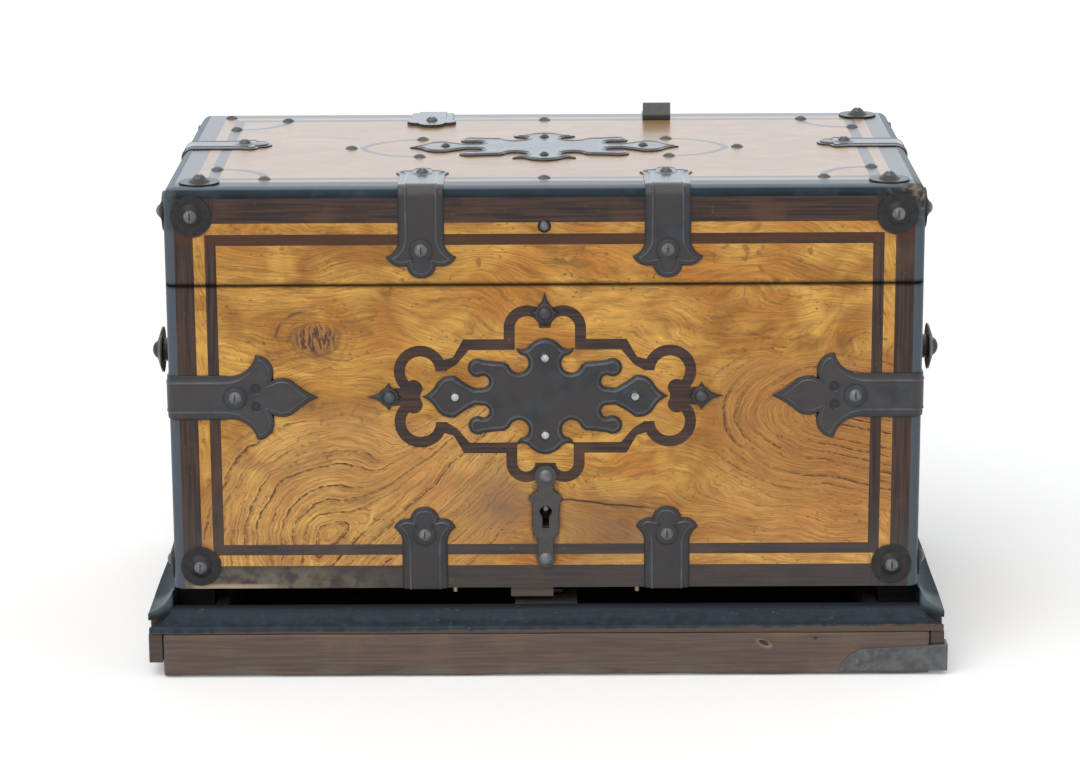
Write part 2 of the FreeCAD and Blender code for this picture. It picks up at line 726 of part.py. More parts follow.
# Rounded strips round the edges of the lid, with ball corners
edge_rods = []
for x, y, first in corner_turns:
    edge_rods.append(quarter_round(Vector(x * strip_width, y * strip_depth, lid_bottom),
                                   tongue_top - lid_bottom, UP, first))
    ball = Part.makeSphere(strip_radius, Vector(x * strip_width, y * strip_depth, tongue_top))
    low, high = sorted((x * strip_width, x * half_width))
    near, far = sorted((y * strip_depth, y * half_depth))
    edge_rods.append(ball.common(block(low, high, near, far, tongue_top, lid_top)))
edge_rods.append(quarter_round(Vector(strip_width, -strip_depth, tongue_top), 2 * strip_width, LEFT, FRONT))
edge_rods.append(quarter_round(Vector(-strip_width, strip_depth, tongue_top), 2 * strip_width, RIGHT, BACK))
edge_rods.append(quarter_round(Vector(strip_width, strip_depth, tongue_top), 2 * strip_depth, FRONT, RIGHT))
edge_rods.append(quarter_round(Vector(-strip_width, -strip_depth, tongue_top), 2 * strip_depth, BACK, LEFT))
save("lid_edge_strips", joined(edge_rods))

# Veneer on the lid, with the frame open at the seam, and the inlay let into its top
lid_face = Vector(0, 0, lid_top)
frame_x = strip_width - band_stile - elm_line - dark_line
frame_y = strip_depth - band_stile - elm_line - dark_line
lid_inlay = [pointed_arch(), pointed_arch().mirror(Vector(0, 0, 0), RIGHT)]
for x in (-1, 1):
    for y in (-1, 1):
        arc = disc(x * frame_x, y * frame_y, corner_arc_radius, veneer)
        arc = arc.cut(disc(x * frame_x, y * frame_y, corner_arc_radius - corner_arc_width, veneer))
        lid_inlay.append(arc.common(block(-frame_x, frame_x, -frame_y, frame_y, 0, veneer)))
lid_inlay = [piece.translated(lid_face + DOWN * veneer) for piece in lid_inlay]
lid_elm = []
lid_dark = []
for out, reach, half in sides:
    band, line, string, panel = framed_face(half, lid_bottom, tongue_top, 0, lid_band_rail)
    lid_dark += [seat(piece, out * reach, out, UP) for piece in (band, string)]
    lid_elm += [seat(piece, out * reach, out, UP) for piece in (line, panel)]
band, line, string, panel = framed_face(strip_width, -strip_depth, strip_depth, band_stile, band_stile)
lid_dark += [piece.translated(lid_face) for piece in (band, string)]
lid_elm += [line.translated(lid_face), panel.translated(lid_face).cut(lid_inlay)]
save("lid_elm_veneer", *lid_elm)
save("lid_dark_banding", *lid_dark)
save("lid_inlay", *lid_inlay)

# Iron mount on the lid
save("lid_mount", mount_plate(lid_mount_half_length, lid_mount_half_height).translated(lid_face))

# Straps of the lid: two over the front edge and one over each end
lid_screws = []
for name, side in (("left", -1), ("right", 1)):
    edge = Vector(side * strap_offset, -strip_depth, tongue_top)
    save("lid_front_strap_" + name, strap(edge, FRONT, UP, strip_radius, strap_leg, strap_leg,
                                          trefoil_head(front_head_lobe), trefoil_head(top_head_lobe), lid_screws))
    edge = Vector(side * strip_width, lid_side_strap_back, tongue_top)
    save("lid_side_strap_" + name, strap(edge, RIGHT * side, UP, strip_radius, strap_leg, strap_leg,
                                         trefoil_head(foot_head_lobe), trefoil_head(top_head_lobe), lid_screws))

# Hinges: straps over the back edge that end in a knuckle, leaves on the back board and pins
hinge_y = half_depth + knuckle_radius + knuckle_clearance
hinge_z = (seam + lid_bottom) / 2
relief = knuckle_radius + knuckle_clearance
third = strap_width / 3
back_leg = tongue_top - hinge_z - relief
hinge_leaves = []
hinge_pins = []
for name, side in (("left", -1), ("right", 1)):
    middle = side * strap_offset
    edge = Vector(middle, strip_depth, tongue_top)
    leg, head = (strap_leg, trefoil_head(top_head_lobe)) if side < 0 else (bent_tab_reach, None)
    top_strap = strap(edge, UP, BACK, strip_radius, leg, back_leg, head, None, lid_screws)
    barrel = Part.makeCylinder(knuckle_radius, third - knuckle_gap,
                               Vector(middle - (third - knuckle_gap) / 2, hinge_y, hinge_z), RIGHT)
    tongue = block(middle - (third - knuckle_gap) / 2, middle + (third - knuckle_gap) / 2,
                   half_depth, half_depth + strap_rise, hinge_z, hinge_z + relief + neck_overlap)
    pieces = [top_strap, barrel, tongue]
    if head is None:
        tab_y = strip_depth - bent_tab_reach
        pieces.append(block(middle - strap_rib_width / 2, middle + strap_rib_width / 2,
                            tab_y, tab_y + strap_rise, lid_top, lid_top + bent_tab_height))
        # The broken leg kept its rib only, so both borders are cut off as far as the bend
        for start, end in ((-strap_width, -strap_rib_width / 2), (strap_rib_width / 2, strap_width)):
            border = block(middle + start, middle + end, tab_y - strap_rise, half_depth + 2 * strap_rise,
                           lid_top - strip_radius / 2, lid_top + 2 * strap_rise)
            pieces[0] = pieces[0].cut(border)
    bore = Part.makeCylinder(pin_radius + pin_clearance, strap_width,
                             Vector(middle - strap_width / 2, hinge_y, hinge_z), RIGHT)
    spot = Vector(middle, half_depth, hinge_z + relief + back_leg / 2)
    lid_screws.append(seat(screw(strap_rise), spot, BACK, UP))
    save("hinge_strap_" + name, joined(pieces).cut(bore).cut(seat(screw_hole(strap_rise), spot, BACK, UP)))
    leaf = [block(middle - strap_width / 2, middle + strap_width / 2, half_depth, half_depth + strap_rise,
                  seam - leaf_drop, hinge_z - relief)]
    for end in (-1, 1):
        low, high = sorted((middle + end * third / 2, middle + end * strap_width / 2))
        leaf.append(Part.makeCylinder(knuckle_radius, high - low, Vector(low, hinge_y, hinge_z), RIGHT))
        leaf.append(block(low, high, half_depth, half_depth + strap_rise,
                          hinge_z - relief - neck_overlap, hinge_z))
    leaf = joined(leaf).cut(bore)
    for share in (0.3, 0.75):
        spot = Vector(middle, half_depth, seam - leaf_drop * share)
        body_screws.append(seat(screw(strap_rise), spot, BACK, UP))
        leaf = leaf.cut(seat(screw_hole(strap_rise), spot, BACK, UP))
    hinge_leaves.append(leaf)
    pin_start = Vector(middle - strap_width / 2, hinge_y, hinge_z)
    pin = [Part.makeCylinder(pin_radius, strap_width, pin_start, RIGHT)]
    for start in (pin_start + LEFT * pin_end, pin_start + RIGHT * strap_width):
        pin.append(Part.makeCylinder(pin_radius + pin_end, pin_end, start, RIGHT))
    hinge_pins.append(joined(pin))
save("hinge_leaves", *hinge_leaves)
save("hinge_pins", *hinge_pins)
save("body_screws", *body_screws)

# Washers, screws and studs of the lid. The washer at the back left of the top is lost: a stud fills its place
lid_washers = []
for out, reach, half in (sides[0], sides[2], sides[3]):
    across = UP.cross(out)
    for side in (-1, 1):
        spot = out * reach + across * (side * (half + strip_radius - boss_inset))
        spot = spot + UP * (lid_top - boss_inset)
        lid_washers.append(seat(washer(), spot, out, UP))
        lid_screws.append(seat(screw(washer_flat), spot, out, UP))
lid_rivets = mount_rivets(lid_mount_half_length, lid_mount_half_height)
lid_studs = [rivet.translated(lid_face) for rivet in lid_rivets]
lid_studs.append(seat(stud, Vector(0, -half_depth, lid_top - front_stud_drop), FRONT, UP))
line_x = frame_x + dark_line / 2
line_y = frame_y + dark_line / 2
arc_middle = corner_arc_radius - corner_arc_width / 2
for x in (-1, 1):
    for y in (-1, 1):
        spot = Vector(x * (half_width - boss_inset_top), y * (half_depth - boss_inset), lid_top)
        if x < 0 and y > 0:
            lid_studs.append(stud.translated(spot))
        else:
            lid_washers.append(washer().translated(spot))
            lid_screws.append(screw(washer_flat).translated(spot))
        for spot in ((frame_x - arc_middle, line_y), (line_x, frame_y - arc_middle),
                     (lid_arch_start_x, lid_arch_start_y)):
            lid_studs.append(stud.translated(lid_face + Vector(x * spot[0], y * spot[1], 0)))
    lid_studs.append(stud.translated(lid_face + Vector(x * end_stud_x, 0, 0)))
    lid_studs.append(stud.translated(lid_face + Vector(0, x * line_y, 0)))
save("lid_boss_washers", *lid_washers)
save("lid_screws", *lid_screws)
save("lid_studs", *lid_studs)

# Plinth: end boards lapped by the drawer front, a back board, mouldings on top and the two bearers
lap = drawer_front_half + lap_clearance
inner_face = -half_depth + running_gap
right_end = block(half_width, plinth_width, -plinth_depth + side_board_end, plinth_depth,
                  side_foot, side_board_top)
right_end = right_end.cut(block(half_width, lap, -plinth_depth, inner_face, side_foot, side_board_top))
right_end = right_end.cut(block(half_width, plinth_width, -plinth_depth, inner_face,
                                front_board_top - running_gap, side_board_top))
save("plinth_right_board", right_end)
save("plinth_left_board", right_end.mirror(Vector(0, 0, 0), RIGHT))
save("plinth_back_board", block(-half_width, half_width, half_depth, plinth_depth, side_foot, side_board_top))
end_moulding = moulding(half_depth, 0)
back_moulding = moulding(half_width, 0)
save("plinth_mouldings", placed(end_moulding, Vector(-half_width, 0, side_board_top), FRONT, RIGHT, UP),
     placed(end_moulding, Vector(half_width, 0, side_board_top), BACK, LEFT, UP),
     placed(back_moulding, Vector(0, half_depth, side_board_top), LEFT, FRONT, UP))
bearer_front = inner_face + bearer_setback
bearer = joined([block(bearer_inner, half_width, bearer_front, half_depth, 0, plinth_height),
                 block(bearer_inner - lip_width, bearer_inner, bearer_front, half_depth, 0, lip_height)])
save("plinth_bearers", bearer, bearer.mirror(Vector(0, 0, 0), RIGHT))
fillet_front = -half_depth + fillet_setback
save("fillet_block", block(fillet_left, fillet_right, fillet_front, fillet_front + fillet_depth,
                           body_bottom - fillet_height, body_bottom))
brass_pins = []
for side in (-1, 1):
    spot = Vector(side * brass_pin_offset, -half_depth + brass_pin_setback, body_bottom)
    brass_pins.append(Part.makeCylinder(brass_pin_radius, brass_pin_length, spot, DOWN))
save("brass_pins", *brass_pins)

# Drawer: its front and moulding make the front of the plinth
bracket_face = plinth_depth + bracket_proud
bracket_back = bracket_face - bracket_thickness
bracket_end = plinth_width + running_gap
bracket_start = bracket_end - bracket_length
bracket_low = plinth_foot + bracket_foot
bracket_top = bracket_low + bracket_height
bracket_plan = outline((bracket_start, bracket_low),
                       [(bracket_end, bracket_low), (bracket_end, bracket_top),
                        (bracket_start + bracket_height, bracket_top - bracket_foot),
                        (bracket_start + bracket_foot, bracket_low + 0.7 * bracket_tip_height,
                         bracket_start, bracket_low)])
bracket_plate = placed(bracket_plan.extrude(Vector(0, 0, bracket_thickness)), Vector(0, -bracket_back, 0),
                       RIGHT, UP, FRONT)
bracket_lug = block(bracket_end, bracket_end + bracket_thickness, -bracket_face, -bracket_face + bracket_wrap,
                    bracket_low, bracket_top)
nail_x = bracket_start + bracket_nail_from_end
nail = seat(dome(bracket_nail_radius, bracket_nail_height),
            Vector(nail_x, -bracket_face, bracket_low + bracket_height / 3), FRONT, UP)
save("corner_bracket", joined([bracket_plate, bracket_lug]), nail)
drawer_front = block(-drawer_front_half, drawer_front_half, -plinth_depth, -half_depth,
                     plinth_foot, front_board_top)
save("drawer_front", drawer_front.cut(bracket_plate))
save("drawer_moulding", moulding(half_width, mitre_gap).translated(Vector(0, -half_depth, front_board_top)))
drawer_back = -half_depth + drawer_length
drawer_wall = block(drawer_half - drawer_side, drawer_half, -half_depth, drawer_back, drawer_foot, drawer_top)
save("drawer_sides", drawer_wall, drawer_wall.mirror(Vector(0, 0, 0), RIGHT))
drawer_inner = drawer_half - drawer_side
save("drawer_back", block(-drawer_inner, drawer_inner, drawer_back - drawer_side, drawer_back,
                          drawer_foot, drawer_top))
floor_low = drawer_foot + drawer_floor_rise
save("drawer_bottom", block(-drawer_inner, drawer_inner, -half_depth, drawer_back - drawer_side,
                            floor_low, floor_low + drawer_floor))
strike_top = front_board_top + moulding_height
strike = joined([block(-strike_width / 2, strike_width / 2, -half_depth, -half_depth + strike_plate,
                       strike_top - strike_drop, strike_top),
                 block(-strike_width / 2, strike_width / 2, -half_depth, -half_depth + strike_reach,
                       strike_top - strike_plate, strike_top)])
save("drawer_strike", strike.cut(bolt_slot))
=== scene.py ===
import bmesh
import bpy
import numpy as np
from mathutils import Matrix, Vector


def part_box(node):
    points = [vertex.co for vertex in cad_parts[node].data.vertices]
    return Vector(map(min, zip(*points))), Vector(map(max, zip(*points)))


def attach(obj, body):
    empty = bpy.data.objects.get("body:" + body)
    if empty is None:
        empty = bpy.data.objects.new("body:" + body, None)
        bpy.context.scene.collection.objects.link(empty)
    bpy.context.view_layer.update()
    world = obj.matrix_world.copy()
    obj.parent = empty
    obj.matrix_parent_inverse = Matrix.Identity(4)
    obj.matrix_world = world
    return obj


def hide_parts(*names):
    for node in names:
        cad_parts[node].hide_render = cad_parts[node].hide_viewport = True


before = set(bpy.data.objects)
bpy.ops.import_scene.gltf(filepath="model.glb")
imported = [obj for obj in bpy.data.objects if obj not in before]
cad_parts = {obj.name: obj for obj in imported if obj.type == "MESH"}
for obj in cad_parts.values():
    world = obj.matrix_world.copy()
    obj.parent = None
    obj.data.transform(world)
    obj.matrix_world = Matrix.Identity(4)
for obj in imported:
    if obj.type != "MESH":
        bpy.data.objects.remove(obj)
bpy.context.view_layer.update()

# Carcass and lid boards
# Pale softwood boards, tongued behind the edge strips and glued, left bare on the inside.
# Veneer hides their outer faces, so they show when the lid is up and along the seam.


class Wire:
    """One output of a node: sums and products of wires and numbers add Math nodes to the same finish."""

    def __init__(self, finish, socket):
        self.finish = finish
        self.socket = socket

    def math(self, operation, *others):
        """A Math node on this wire and others."""
        return self.finish.math(operation, self, *others)

    def __add__(self, other):
        return self.math("ADD", other)

    __radd__ = __add__

    def __sub__(self, other):
        return self.math("SUBTRACT", other)

    def __rsub__(self, other):
        return self.finish.math("SUBTRACT", other, self)

    def __mul__(self, other):
        return self.math("MULTIPLY", other)

    __rmul__ = __mul__

    def __truediv__(self, other):
        return self.math("DIVIDE", other)

    def __rtruediv__(self, other):
        return self.finish.math("DIVIDE", other, self)

    def __pow__(self, other):
        return self.math("POWER", other)

    def __abs__(self):
        return self.math("ABSOLUTE")

    def ramp(self, low, high):
        """A smooth climb from nought at low to one at high; low above high turns it round."""
        inputs = {"Value": self, "From Min": low, "From Max": high}
        return self.finish.add("ShaderNodeMapRange", {"interpolation_type": "SMOOTHSTEP"}, inputs)


class Finish:
    """A procedural material: its places are in millimetres, in the frame of the whole chest."""

    def __init__(self, name):
        self.open_tree(bpy.data.materials.new(name))
        metres = self.add("ShaderNodeTexCoord", {}, {}, "Object")
        self.place = self.scaled(metres, 1000.0)
        self.x, self.y, self.z = self.parts(self.place)

    def open_tree(self, owner):
        """Takes the node tree of a material or a world, emptied."""
        owner.use_nodes = True
        self.owner = owner
        self.tree = owner.node_tree
        self.tree.nodes.clear()

    def add(self, kind, settings, inputs, output=0):
        """Any node: its settings first, then the values or links of its sockets; gives one output."""
        node = self.tree.nodes.new(kind)
        for name, value in settings.items():
            setattr(node, name, value)
        for name, value in inputs.items():
            if isinstance(value, Wire):
                self.tree.links.new(value.socket, node.inputs[name])
            else:
                node.inputs[name].default_value = value
        return Wire(self, node.outputs[output])

    def math(self, operation, *values):
        """A Math node on wires and numbers."""
        return self.add("ShaderNodeMath", {"operation": operation}, dict(enumerate(values)))

    def parts(self, vector):
        """The three parts of a vector."""
        return [self.add("ShaderNodeSeparateXYZ", {}, {0: vector}, axis) for axis in "XYZ"]

    def vector(self, x, y, z):
        """A vector from three wires or numbers."""
        return self.add("ShaderNodeCombineXYZ", {}, {0: x, 1: y, 2: z})

    def scaled(self, vector, amount):
        """A vector or a colour times a number."""
        return self.add("ShaderNodeVectorMath", {"operation": "SCALE"}, {0: vector, "Scale": amount})

    def noise(self, vector, detail=2.0, distortion=0.0):
        """Cloudy noise about a half, one cloud to a unit of its vector."""
        inputs = {"Vector": vector, "Scale": 1.0, "Detail": detail, "Distortion": distortion}
        return self.add("ShaderNodeTexNoise", {}, inputs, "Fac")

    def clouds(self, size, detail=2.0):
        """Noise with clouds of one size in millimetres, the same in every direction."""
        return self.noise(self.scaled(self.place, 1.0 / size), detail)

    def figure(self, length, width, depth, detail=2.0):
        """Noise with clouds of three sizes in millimetres: along, across and through a board."""
        return self.noise(self.vector(self.along / length, self.across / width, self.through / depth), detail)

    def blend(self, factor, first, second):
        """A colour between two others."""
        inputs = {0: factor}
        for number, colour in ((6, first), (7, second)):
            inputs[number] = colour if isinstance(colour, Wire) else (*colour, 1.0)
        return self.add("ShaderNodeMix", {"data_type": "RGBA"}, inputs, 2)

    def coats(self, colour, *layers):
        """A colour under layers, each a share that it covers and its own colour, laid in order."""
        for share, layer in layers:
            colour = self.blend(share, colour, layer)
        return colour

    def bell(self, across, middle, reach):
        """One at a middle and falling off like a bell over a reach."""
        away = (across - middle) / reach
        return (away * away * -1.0).math("EXPONENT")

    def nooks(self, reach, **settings):
        """How open a place is: one in the open, nought deep in a corner, for painting shade into corners; the
        reach is in millimetres.
        """
        settings = {"samples": 6, **settings}
        return self.add("ShaderNodeAmbientOcclusion", settings, {"Distance": reach * 0.001}, "AO")

    def grain(self):
        """Along, across and through a board, told by the way its face looks: ends run back, tops lie flat."""
        normal = self.add("ShaderNodeTexCoord", {}, {}, "Normal")
        self.side, _, self.top = [abs(part).ramp(0.6, 0.8) for part in self.parts(normal)]
        self.along = self.x + self.side * (self.y - self.x)
        self.across = self.z + self.top * (self.y - self.z)
        self.through = self.x + self.y + self.z - self.along - self.across
        return self.along, self.across, self.through, self.side, self.top

    def rounded(self, radius):
        """Normals that turn round sharp edges, and how much they turn: one on an edge, nought on a flat."""
        normal = self.add("ShaderNodeBevel", {"samples": 6}, {"Radius": radius * 0.001})
        flat = self.add("ShaderNodeNewGeometry", {}, {}, "Normal")
        inputs = {0: normal, 1: flat}
        same = self.add("ShaderNodeVectorMath", {"operation": "DOT_PRODUCT"}, inputs, "Value")
        return normal, (1.0 - same).ramp(0.01, 0.2)

    def polish(self, sockets, height=None, depth=0.0, normal=None):
        """The finished surface: sockets by name, and a relief of a depth in millimetres."""
        inputs = {name.replace("_", " "): value for name, value in sockets.items()}
        if height is not None:
            bump = {"Height": height, "Distance": depth * 0.001}
            if normal is not None:
                bump["Normal"] = normal
            normal = self.add("ShaderNodeBump", {}, bump)
        if normal is not None:
            inputs["Normal"] = normal
        surface = self.add("ShaderNodeBsdfPrincipled", {}, inputs)
        self.add_output(surface, "ShaderNodeOutputMaterial")

    def add_output(self, surface, kind):
        """Ends the tree in its output."""
        output = self.tree.nodes.new(kind)
        self.tree.links.new(surface.socket, output.inputs["Surface"])


def dress(finish, *nodes):
    """Gives pieces of the frame their finish."""
    for node in nodes:
        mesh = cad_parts[node].data
        mesh.materials.clear()
        mesh.materials.append(finish.owner)


keyhole_z = 78.0
softwood = Finish("bare_softwood")
along, across, through, *_ = softwood.grain()
wander = softwood.clouds(60.0)
fibre = softwood.noise(softwood.vector(along / 40.0, across / 1.6 + wander * 6.0, through / 8.0), 3.0)
rings = ((across + wander * 26.0) / 7.0).math("FRACT") ** 5.0
plain = softwood.blend(fibre.ramp(0.25, 0.75), (0.24, 0.135, 0.066), (0.40, 0.25, 0.13))
# Painted shade: the board is painted black round the keyhole, where the inside of the lock lies in shade
keyhole_shade_and_key_wear = abs(softwood.x).ramp(11.0, 8.0) * softwood.bell(softwood.z, keyhole_z, 16.0)
aged = softwood.coats(plain, (rings * wander.ramp(0.3, 0.7) * 0.5, (0.19, 0.095, 0.045)),
                      (keyhole_shade_and_key_wear * softwood.y.ramp(-80.0, -86.0), (0.004, 0.003, 0.003)))
softwood.polish({"Base_Color": aged, "Roughness": fibre * 0.2 + 0.55}, fibre - rings * 0.2, 0.2)
dress(softwood, "front_board", "back_board", "left_board", "right_board", "floor_board", "lid_top_board",
      "lid_front_rail", "lid_back_rail", "lid_left_rail", "lid_right_rail")

# Elm veneer
# Wild grained elm, sawn thin and glued to every outer face in a panel and a narrow line round it.
# French polished: the top carries the thickest coat and mirrors the room at a low angle.
seam_z, seam_reach = 191.7, 1.25
stile_from, end_stile_from = 155.2, 76.2


def face_marks(finish):
    """Where a face is the front, where its wood stands upright near its ends, and where the seam is painted
    dark as shade.
    """
    front = finish.through.ramp(-95.0, -99.0) * (1.0 - finish.side) * (1.0 - finish.top)
    stile_edge = stile_from - finish.side * (stile_from - end_stile_from)
    stile = abs(finish.along).ramp(stile_edge, stile_edge + 0.2)
    seam_shade = finish.bell(finish.across, seam_z, seam_reach) * (1.0 - finish.top)
    return front, stile, seam_shade


def far(first, second):
    """How far a place is from a middle: the root of the sum of two squares."""
    return (first ** 2.0 + second ** 2.0) ** 0.5


elm = Finish("elm_veneer")
along, across, through, _, top = elm.grain()
front, stile, seam_shade = face_marks(elm)
broad = elm.figure(95.0, 60.0, 55.0)
close = elm.figure(26.0, 17.0, 20.0, 3.0)
jag = elm.figure(4.5, 3.5, 4.0, 3.0)
sway = (close - 0.5) * 7.0 + (jag - 0.5) * 2.0
# The flame at the lower left of the front: rings round its upper left, straight slanting lines below
flame_x, flame_z = -104.0, 68.0
slant = (along - flame_x + across - flame_z) * 0.707
aslant = (across - flame_z - along + flame_x) * 0.707
flame = far(slant * aslant.ramp(-16.0, 12.0) * 0.92, aslant)
in_flame = flame.ramp(72.0, 50.0) * along.ramp(-6.0, -24.0) * front
# The curl at the right: lines that come from the right end, turn back and run down to it again
curl_x, curl_z = 135.0, 128.0
past = (along - curl_x).math("MAXIMUM", 0.0)
short = (along - curl_x).math("MINIMUM", 0.0)
curl = far(short, (across - curl_z + past * 0.23) * 1.6)
in_curl = curl.ramp(78.0, 52.0) * along.ramp(74.0, 90.0) * across.ramp(160.0, 149.0) * front
# The bowl under the seam at the right, and the knot at the upper left
bowl_x, bowl_z = 111.0, 186.0
below_seam = across.ramp(seam_z + 0.1, seam_z - 0.1)
bowl = far((along - bowl_x) * 0.85, across - bowl_z)
in_bowl = bowl.ramp(34.0, 22.0) * front * below_seam
knot_x, knot_z = -112.0, 165.5
to_knot = far(along - knot_x, (across - knot_z) * 1.4 ** 0.5)
in_knot = to_knot.ramp(29.0, 16.0) * front
# Elsewhere the rings run along the face, and upright in the line at its two ends
drift = across * 0.95 + along * 0.13 + stile * (along - across) * 0.82 + (broad - 0.5) * 64.0
elsewhere = (1.0 - in_flame - in_curl - in_bowl - in_knot).math("MAXIMUM", 0.0)


def growth(field, pitch, here):
    """Late wood: a dark line that swells slowly and ends sharply at each ring of a field, some darker."""
    year = elm.noise(elm.vector(field / pitch / 1.6, along / 70.0, across / 70.0), 1.0)
    return ((field + sway) / pitch).math("FRACT") ** 6.0 * here * year.ramp(0.36, 0.64)


def fibres(field):
    """Fine fibres drawn out along the rings of a field."""
    return elm.noise(elm.vector((field + sway) / 0.8, along / 15.0, across / 15.0), 3.0)


fibre = fibres(drift)
fibre = fibre + in_flame * (fibres(flame) - fibre)
fibre = fibre + in_curl * (fibres(curl) - fibre)
speckle = elm.figure(2.4, 1.7, 3.0)
burnt = elm.bell(along, -140.0, 9.0) * elm.bell(across, 92.0, 30.0) * front
late = growth(flame, 5.8, in_flame) * (burnt * 1.5 + 1.4) + growth(curl, 6.2, in_curl * 2.0)
late = late + growth(flame, 2.3, in_flame * 0.65) + growth(curl, 2.1, in_curl * 0.4)
late = late + growth(bowl, 4.4, in_bowl * 0.6) + growth(to_knot, 3.8, in_knot * 0.6)
late = late + growth(drift, 6.0, elsewhere * (broad.ramp(0.35, 0.6) * 0.4 + 0.1))
late = late * (speckle.ramp(0.34, 0.56) * 0.8 + 0.2)
pores = speckle.ramp(0.60, 0.72) * (close.ramp(0.42, 0.62) * 0.8 + 0.2)
mottle = elm.noise(elm.vector(along / 30.0, across / 22.0, through / 25.0 + 7.0), 3.0, 0.8)
patch = elm.noise(elm.vector(along / 48.0, across / 34.0 + 3.0, through / 40.0), 2.0, 0.5)
low_right = along.ramp(60.0, 95.0) * across.ramp(108.0, 92.0) * front
wood = elm.blend(mottle.ramp(0.30, 0.70), (0.300, 0.116, 0.012), (0.570, 0.296, 0.053))
wood = elm.coats(wood, (patch.ramp(0.50, 0.62) * 0.70, (0.400, 0.152, 0.016)),
                 (in_flame * 0.45, (0.520, 0.280, 0.092)), (low_right * 0.35, (0.520, 0.255, 0.085)),
                 ((1.0 - front) * 0.35, (0.430, 0.205, 0.032)), (in_curl * 0.75, (0.345, 0.140, 0.030)))
wood = elm.scaled(wood, fibre * 1.75 + 0.15)
# The eye of the knot is an oval of upright dark scribbles, with a torn arc round its upper left
wobble = (close - 0.5) * 5.0
eye_x = (along + wobble * 0.5 - knot_x - 3.0) / 12.0
eye_z = (across - wobble * 0.5 - knot_z) / 8.0
oval = far(eye_x, eye_z)
eye = oval.ramp(1.15, 0.6) * front
eye_rim = elm.bell(oval, 1.0, 0.09) * jag.ramp(0.30, 0.60) * front
gnarl = elm.noise(elm.vector(along / 1.7, across / 4.6, through / 3.0), 2.0, 0.8)
torn = elm.bell(to_knot, 16.0, 0.8) * front * (along + wobble).ramp(knot_x + 1.0, knot_x - 5.0)
torn = torn * across.ramp(knot_z - 4.0, knot_z + 2.0) * jag.ramp(0.35, 0.55)
# Burr specks on the front of the lid
speck = elm.clouds(6.5, 2.0).ramp(0.66, 0.73) * (1.0 - below_seam) * front
# A shrinkage crack runs right from the key plate, and handling has darkened the wood below it
crack_line = 85.6 - (along - 6.0) * 0.10 + (close - 0.5) * 3.0
crack = elm.bell(across, crack_line, 0.45) * along.ramp(4.0, 8.0) * along.ramp(56.0, 44.0) * front
stain = elm.bell(along, 34.0, 28.0) * elm.bell(across, 72.0, 16.0)
stain = stain + elm.bell(along, -22.0, 16.0) * elm.bell(across, 84.0, 14.0)
stain = stain * front * (mottle.ramp(0.3, 0.55) * 0.6 + 0.4)
# The line stops short of the upper corners of the lid, and the seam is painted black as shade, with Metallic
# there so that it shows no shine
washer_x, washer_z = 166.8, 225.5
boss = far(abs(along) - washer_x, across - washer_z).ramp(10.9, 10.3) * front
wood = elm.coats(wood, (late.math("MINIMUM", 1.0), (0.080, 0.030, 0.009)),
                 (pores * 0.68, (0.120, 0.048, 0.015)), (eye * 0.45, (0.300, 0.130, 0.040)),
                 (eye * gnarl.ramp(0.44, 0.58), (0.075, 0.030, 0.018)),
                 (eye_rim * 0.6, (0.120, 0.050, 0.018)), (torn * 0.9, (0.095, 0.038, 0.012)),
                 (speck * 0.6, (0.170, 0.072, 0.016)), (stain * 0.85, (0.180, 0.096, 0.056)),
                 (crack * 0.95, (0.024, 0.010, 0.005)), (boss, (0.052, 0.034, 0.028)),
                 (seam_shade * 0.95, (0.010, 0.006, 0.004)))
# Painted shade darkens the wood in the corners round the iron
wood = elm.scaled(wood, elm.nooks(2.4).ramp(0.40, 0.95) * (1.0 - top) * 0.7 + 0.3 + top * 0.7)
# The edge of the keyhole is painted black as the shade inside it
keyhole_shade_and_key_wear = abs(along).ramp(7.0, 6.0) * elm.bell(across, keyhole_z, 14.0) * front
# Along the front edge of the lid top the coat is thinner, and a grey band there is painted reflection
# standing in for a wider rounded edge
dull_edge_painted_sheen = top * across.ramp(-83.0, -87.0)
wood = elm.coats(wood, (top * 0.45, (0.400, 0.240, 0.120)), (keyhole_shade_and_key_wear, (0.004, 0.003, 0.003)),
                 (dull_edge_painted_sheen * 0.75, (0.130, 0.128, 0.130)))
relief = fibre * 0.5 - pores * 0.6 - late * 1.2 - crack * 3.0 - eye * gnarl - torn * 1.5 - speck
gloss = (fibre * 0.14 + late * 0.2 + 0.34) * (1.0 - top * 0.25)
elm.polish({"Base_Color": wood, "Roughness": gloss, "IOR": 1.46, "Metallic": seam_shade,
            "Coat_Weight": top - dull_edge_painted_sheen * 0.3, "Coat_Roughness": 0.24}, relief * (1.0 - top * 0.7), 0.16)
dress(elm, "body_elm_veneer", "lid_elm_veneer")

# Dark banding and strapwork inlay
# Fruitwood stained nearly black, let into the elm flush with it: a band and a line round each face,
# and cut strapwork round the two mounts. Worn grey along the foot of the front, most at the left.
stained = Finish("stained_fruitwood")
along, across, through, _, top = stained.grain()
front, stile, seam_shade = face_marks(stained)
turned_grain = stile * (across - along)
lengthwise = (along + turned_grain) / 30.0
streak = stained.noise(stained.vector(lengthwise, (across - turned_grain) / 1.3, through / 4.0), 4.0)
cloud = stained.clouds(24.0, 3.0)
fleck = stained.clouds(2.6, 3.0)
patchy = stained.clouds(8.0, 4.0)
low_band = across.ramp(100.0, 50.0) * front
greyed = stained.blend(cloud, (0.038, 0.036, 0.037), (0.066, 0.058, 0.056))
foot = across.ramp(56.0, 44.0) * along.ramp(-60.0, -130.0) * front
rubbed = (foot * 1.5 * patchy.ramp(0.38, 0.60) + fleck.ramp(0.66, 0.74) * 0.25).math("MINIMUM", 1.0)
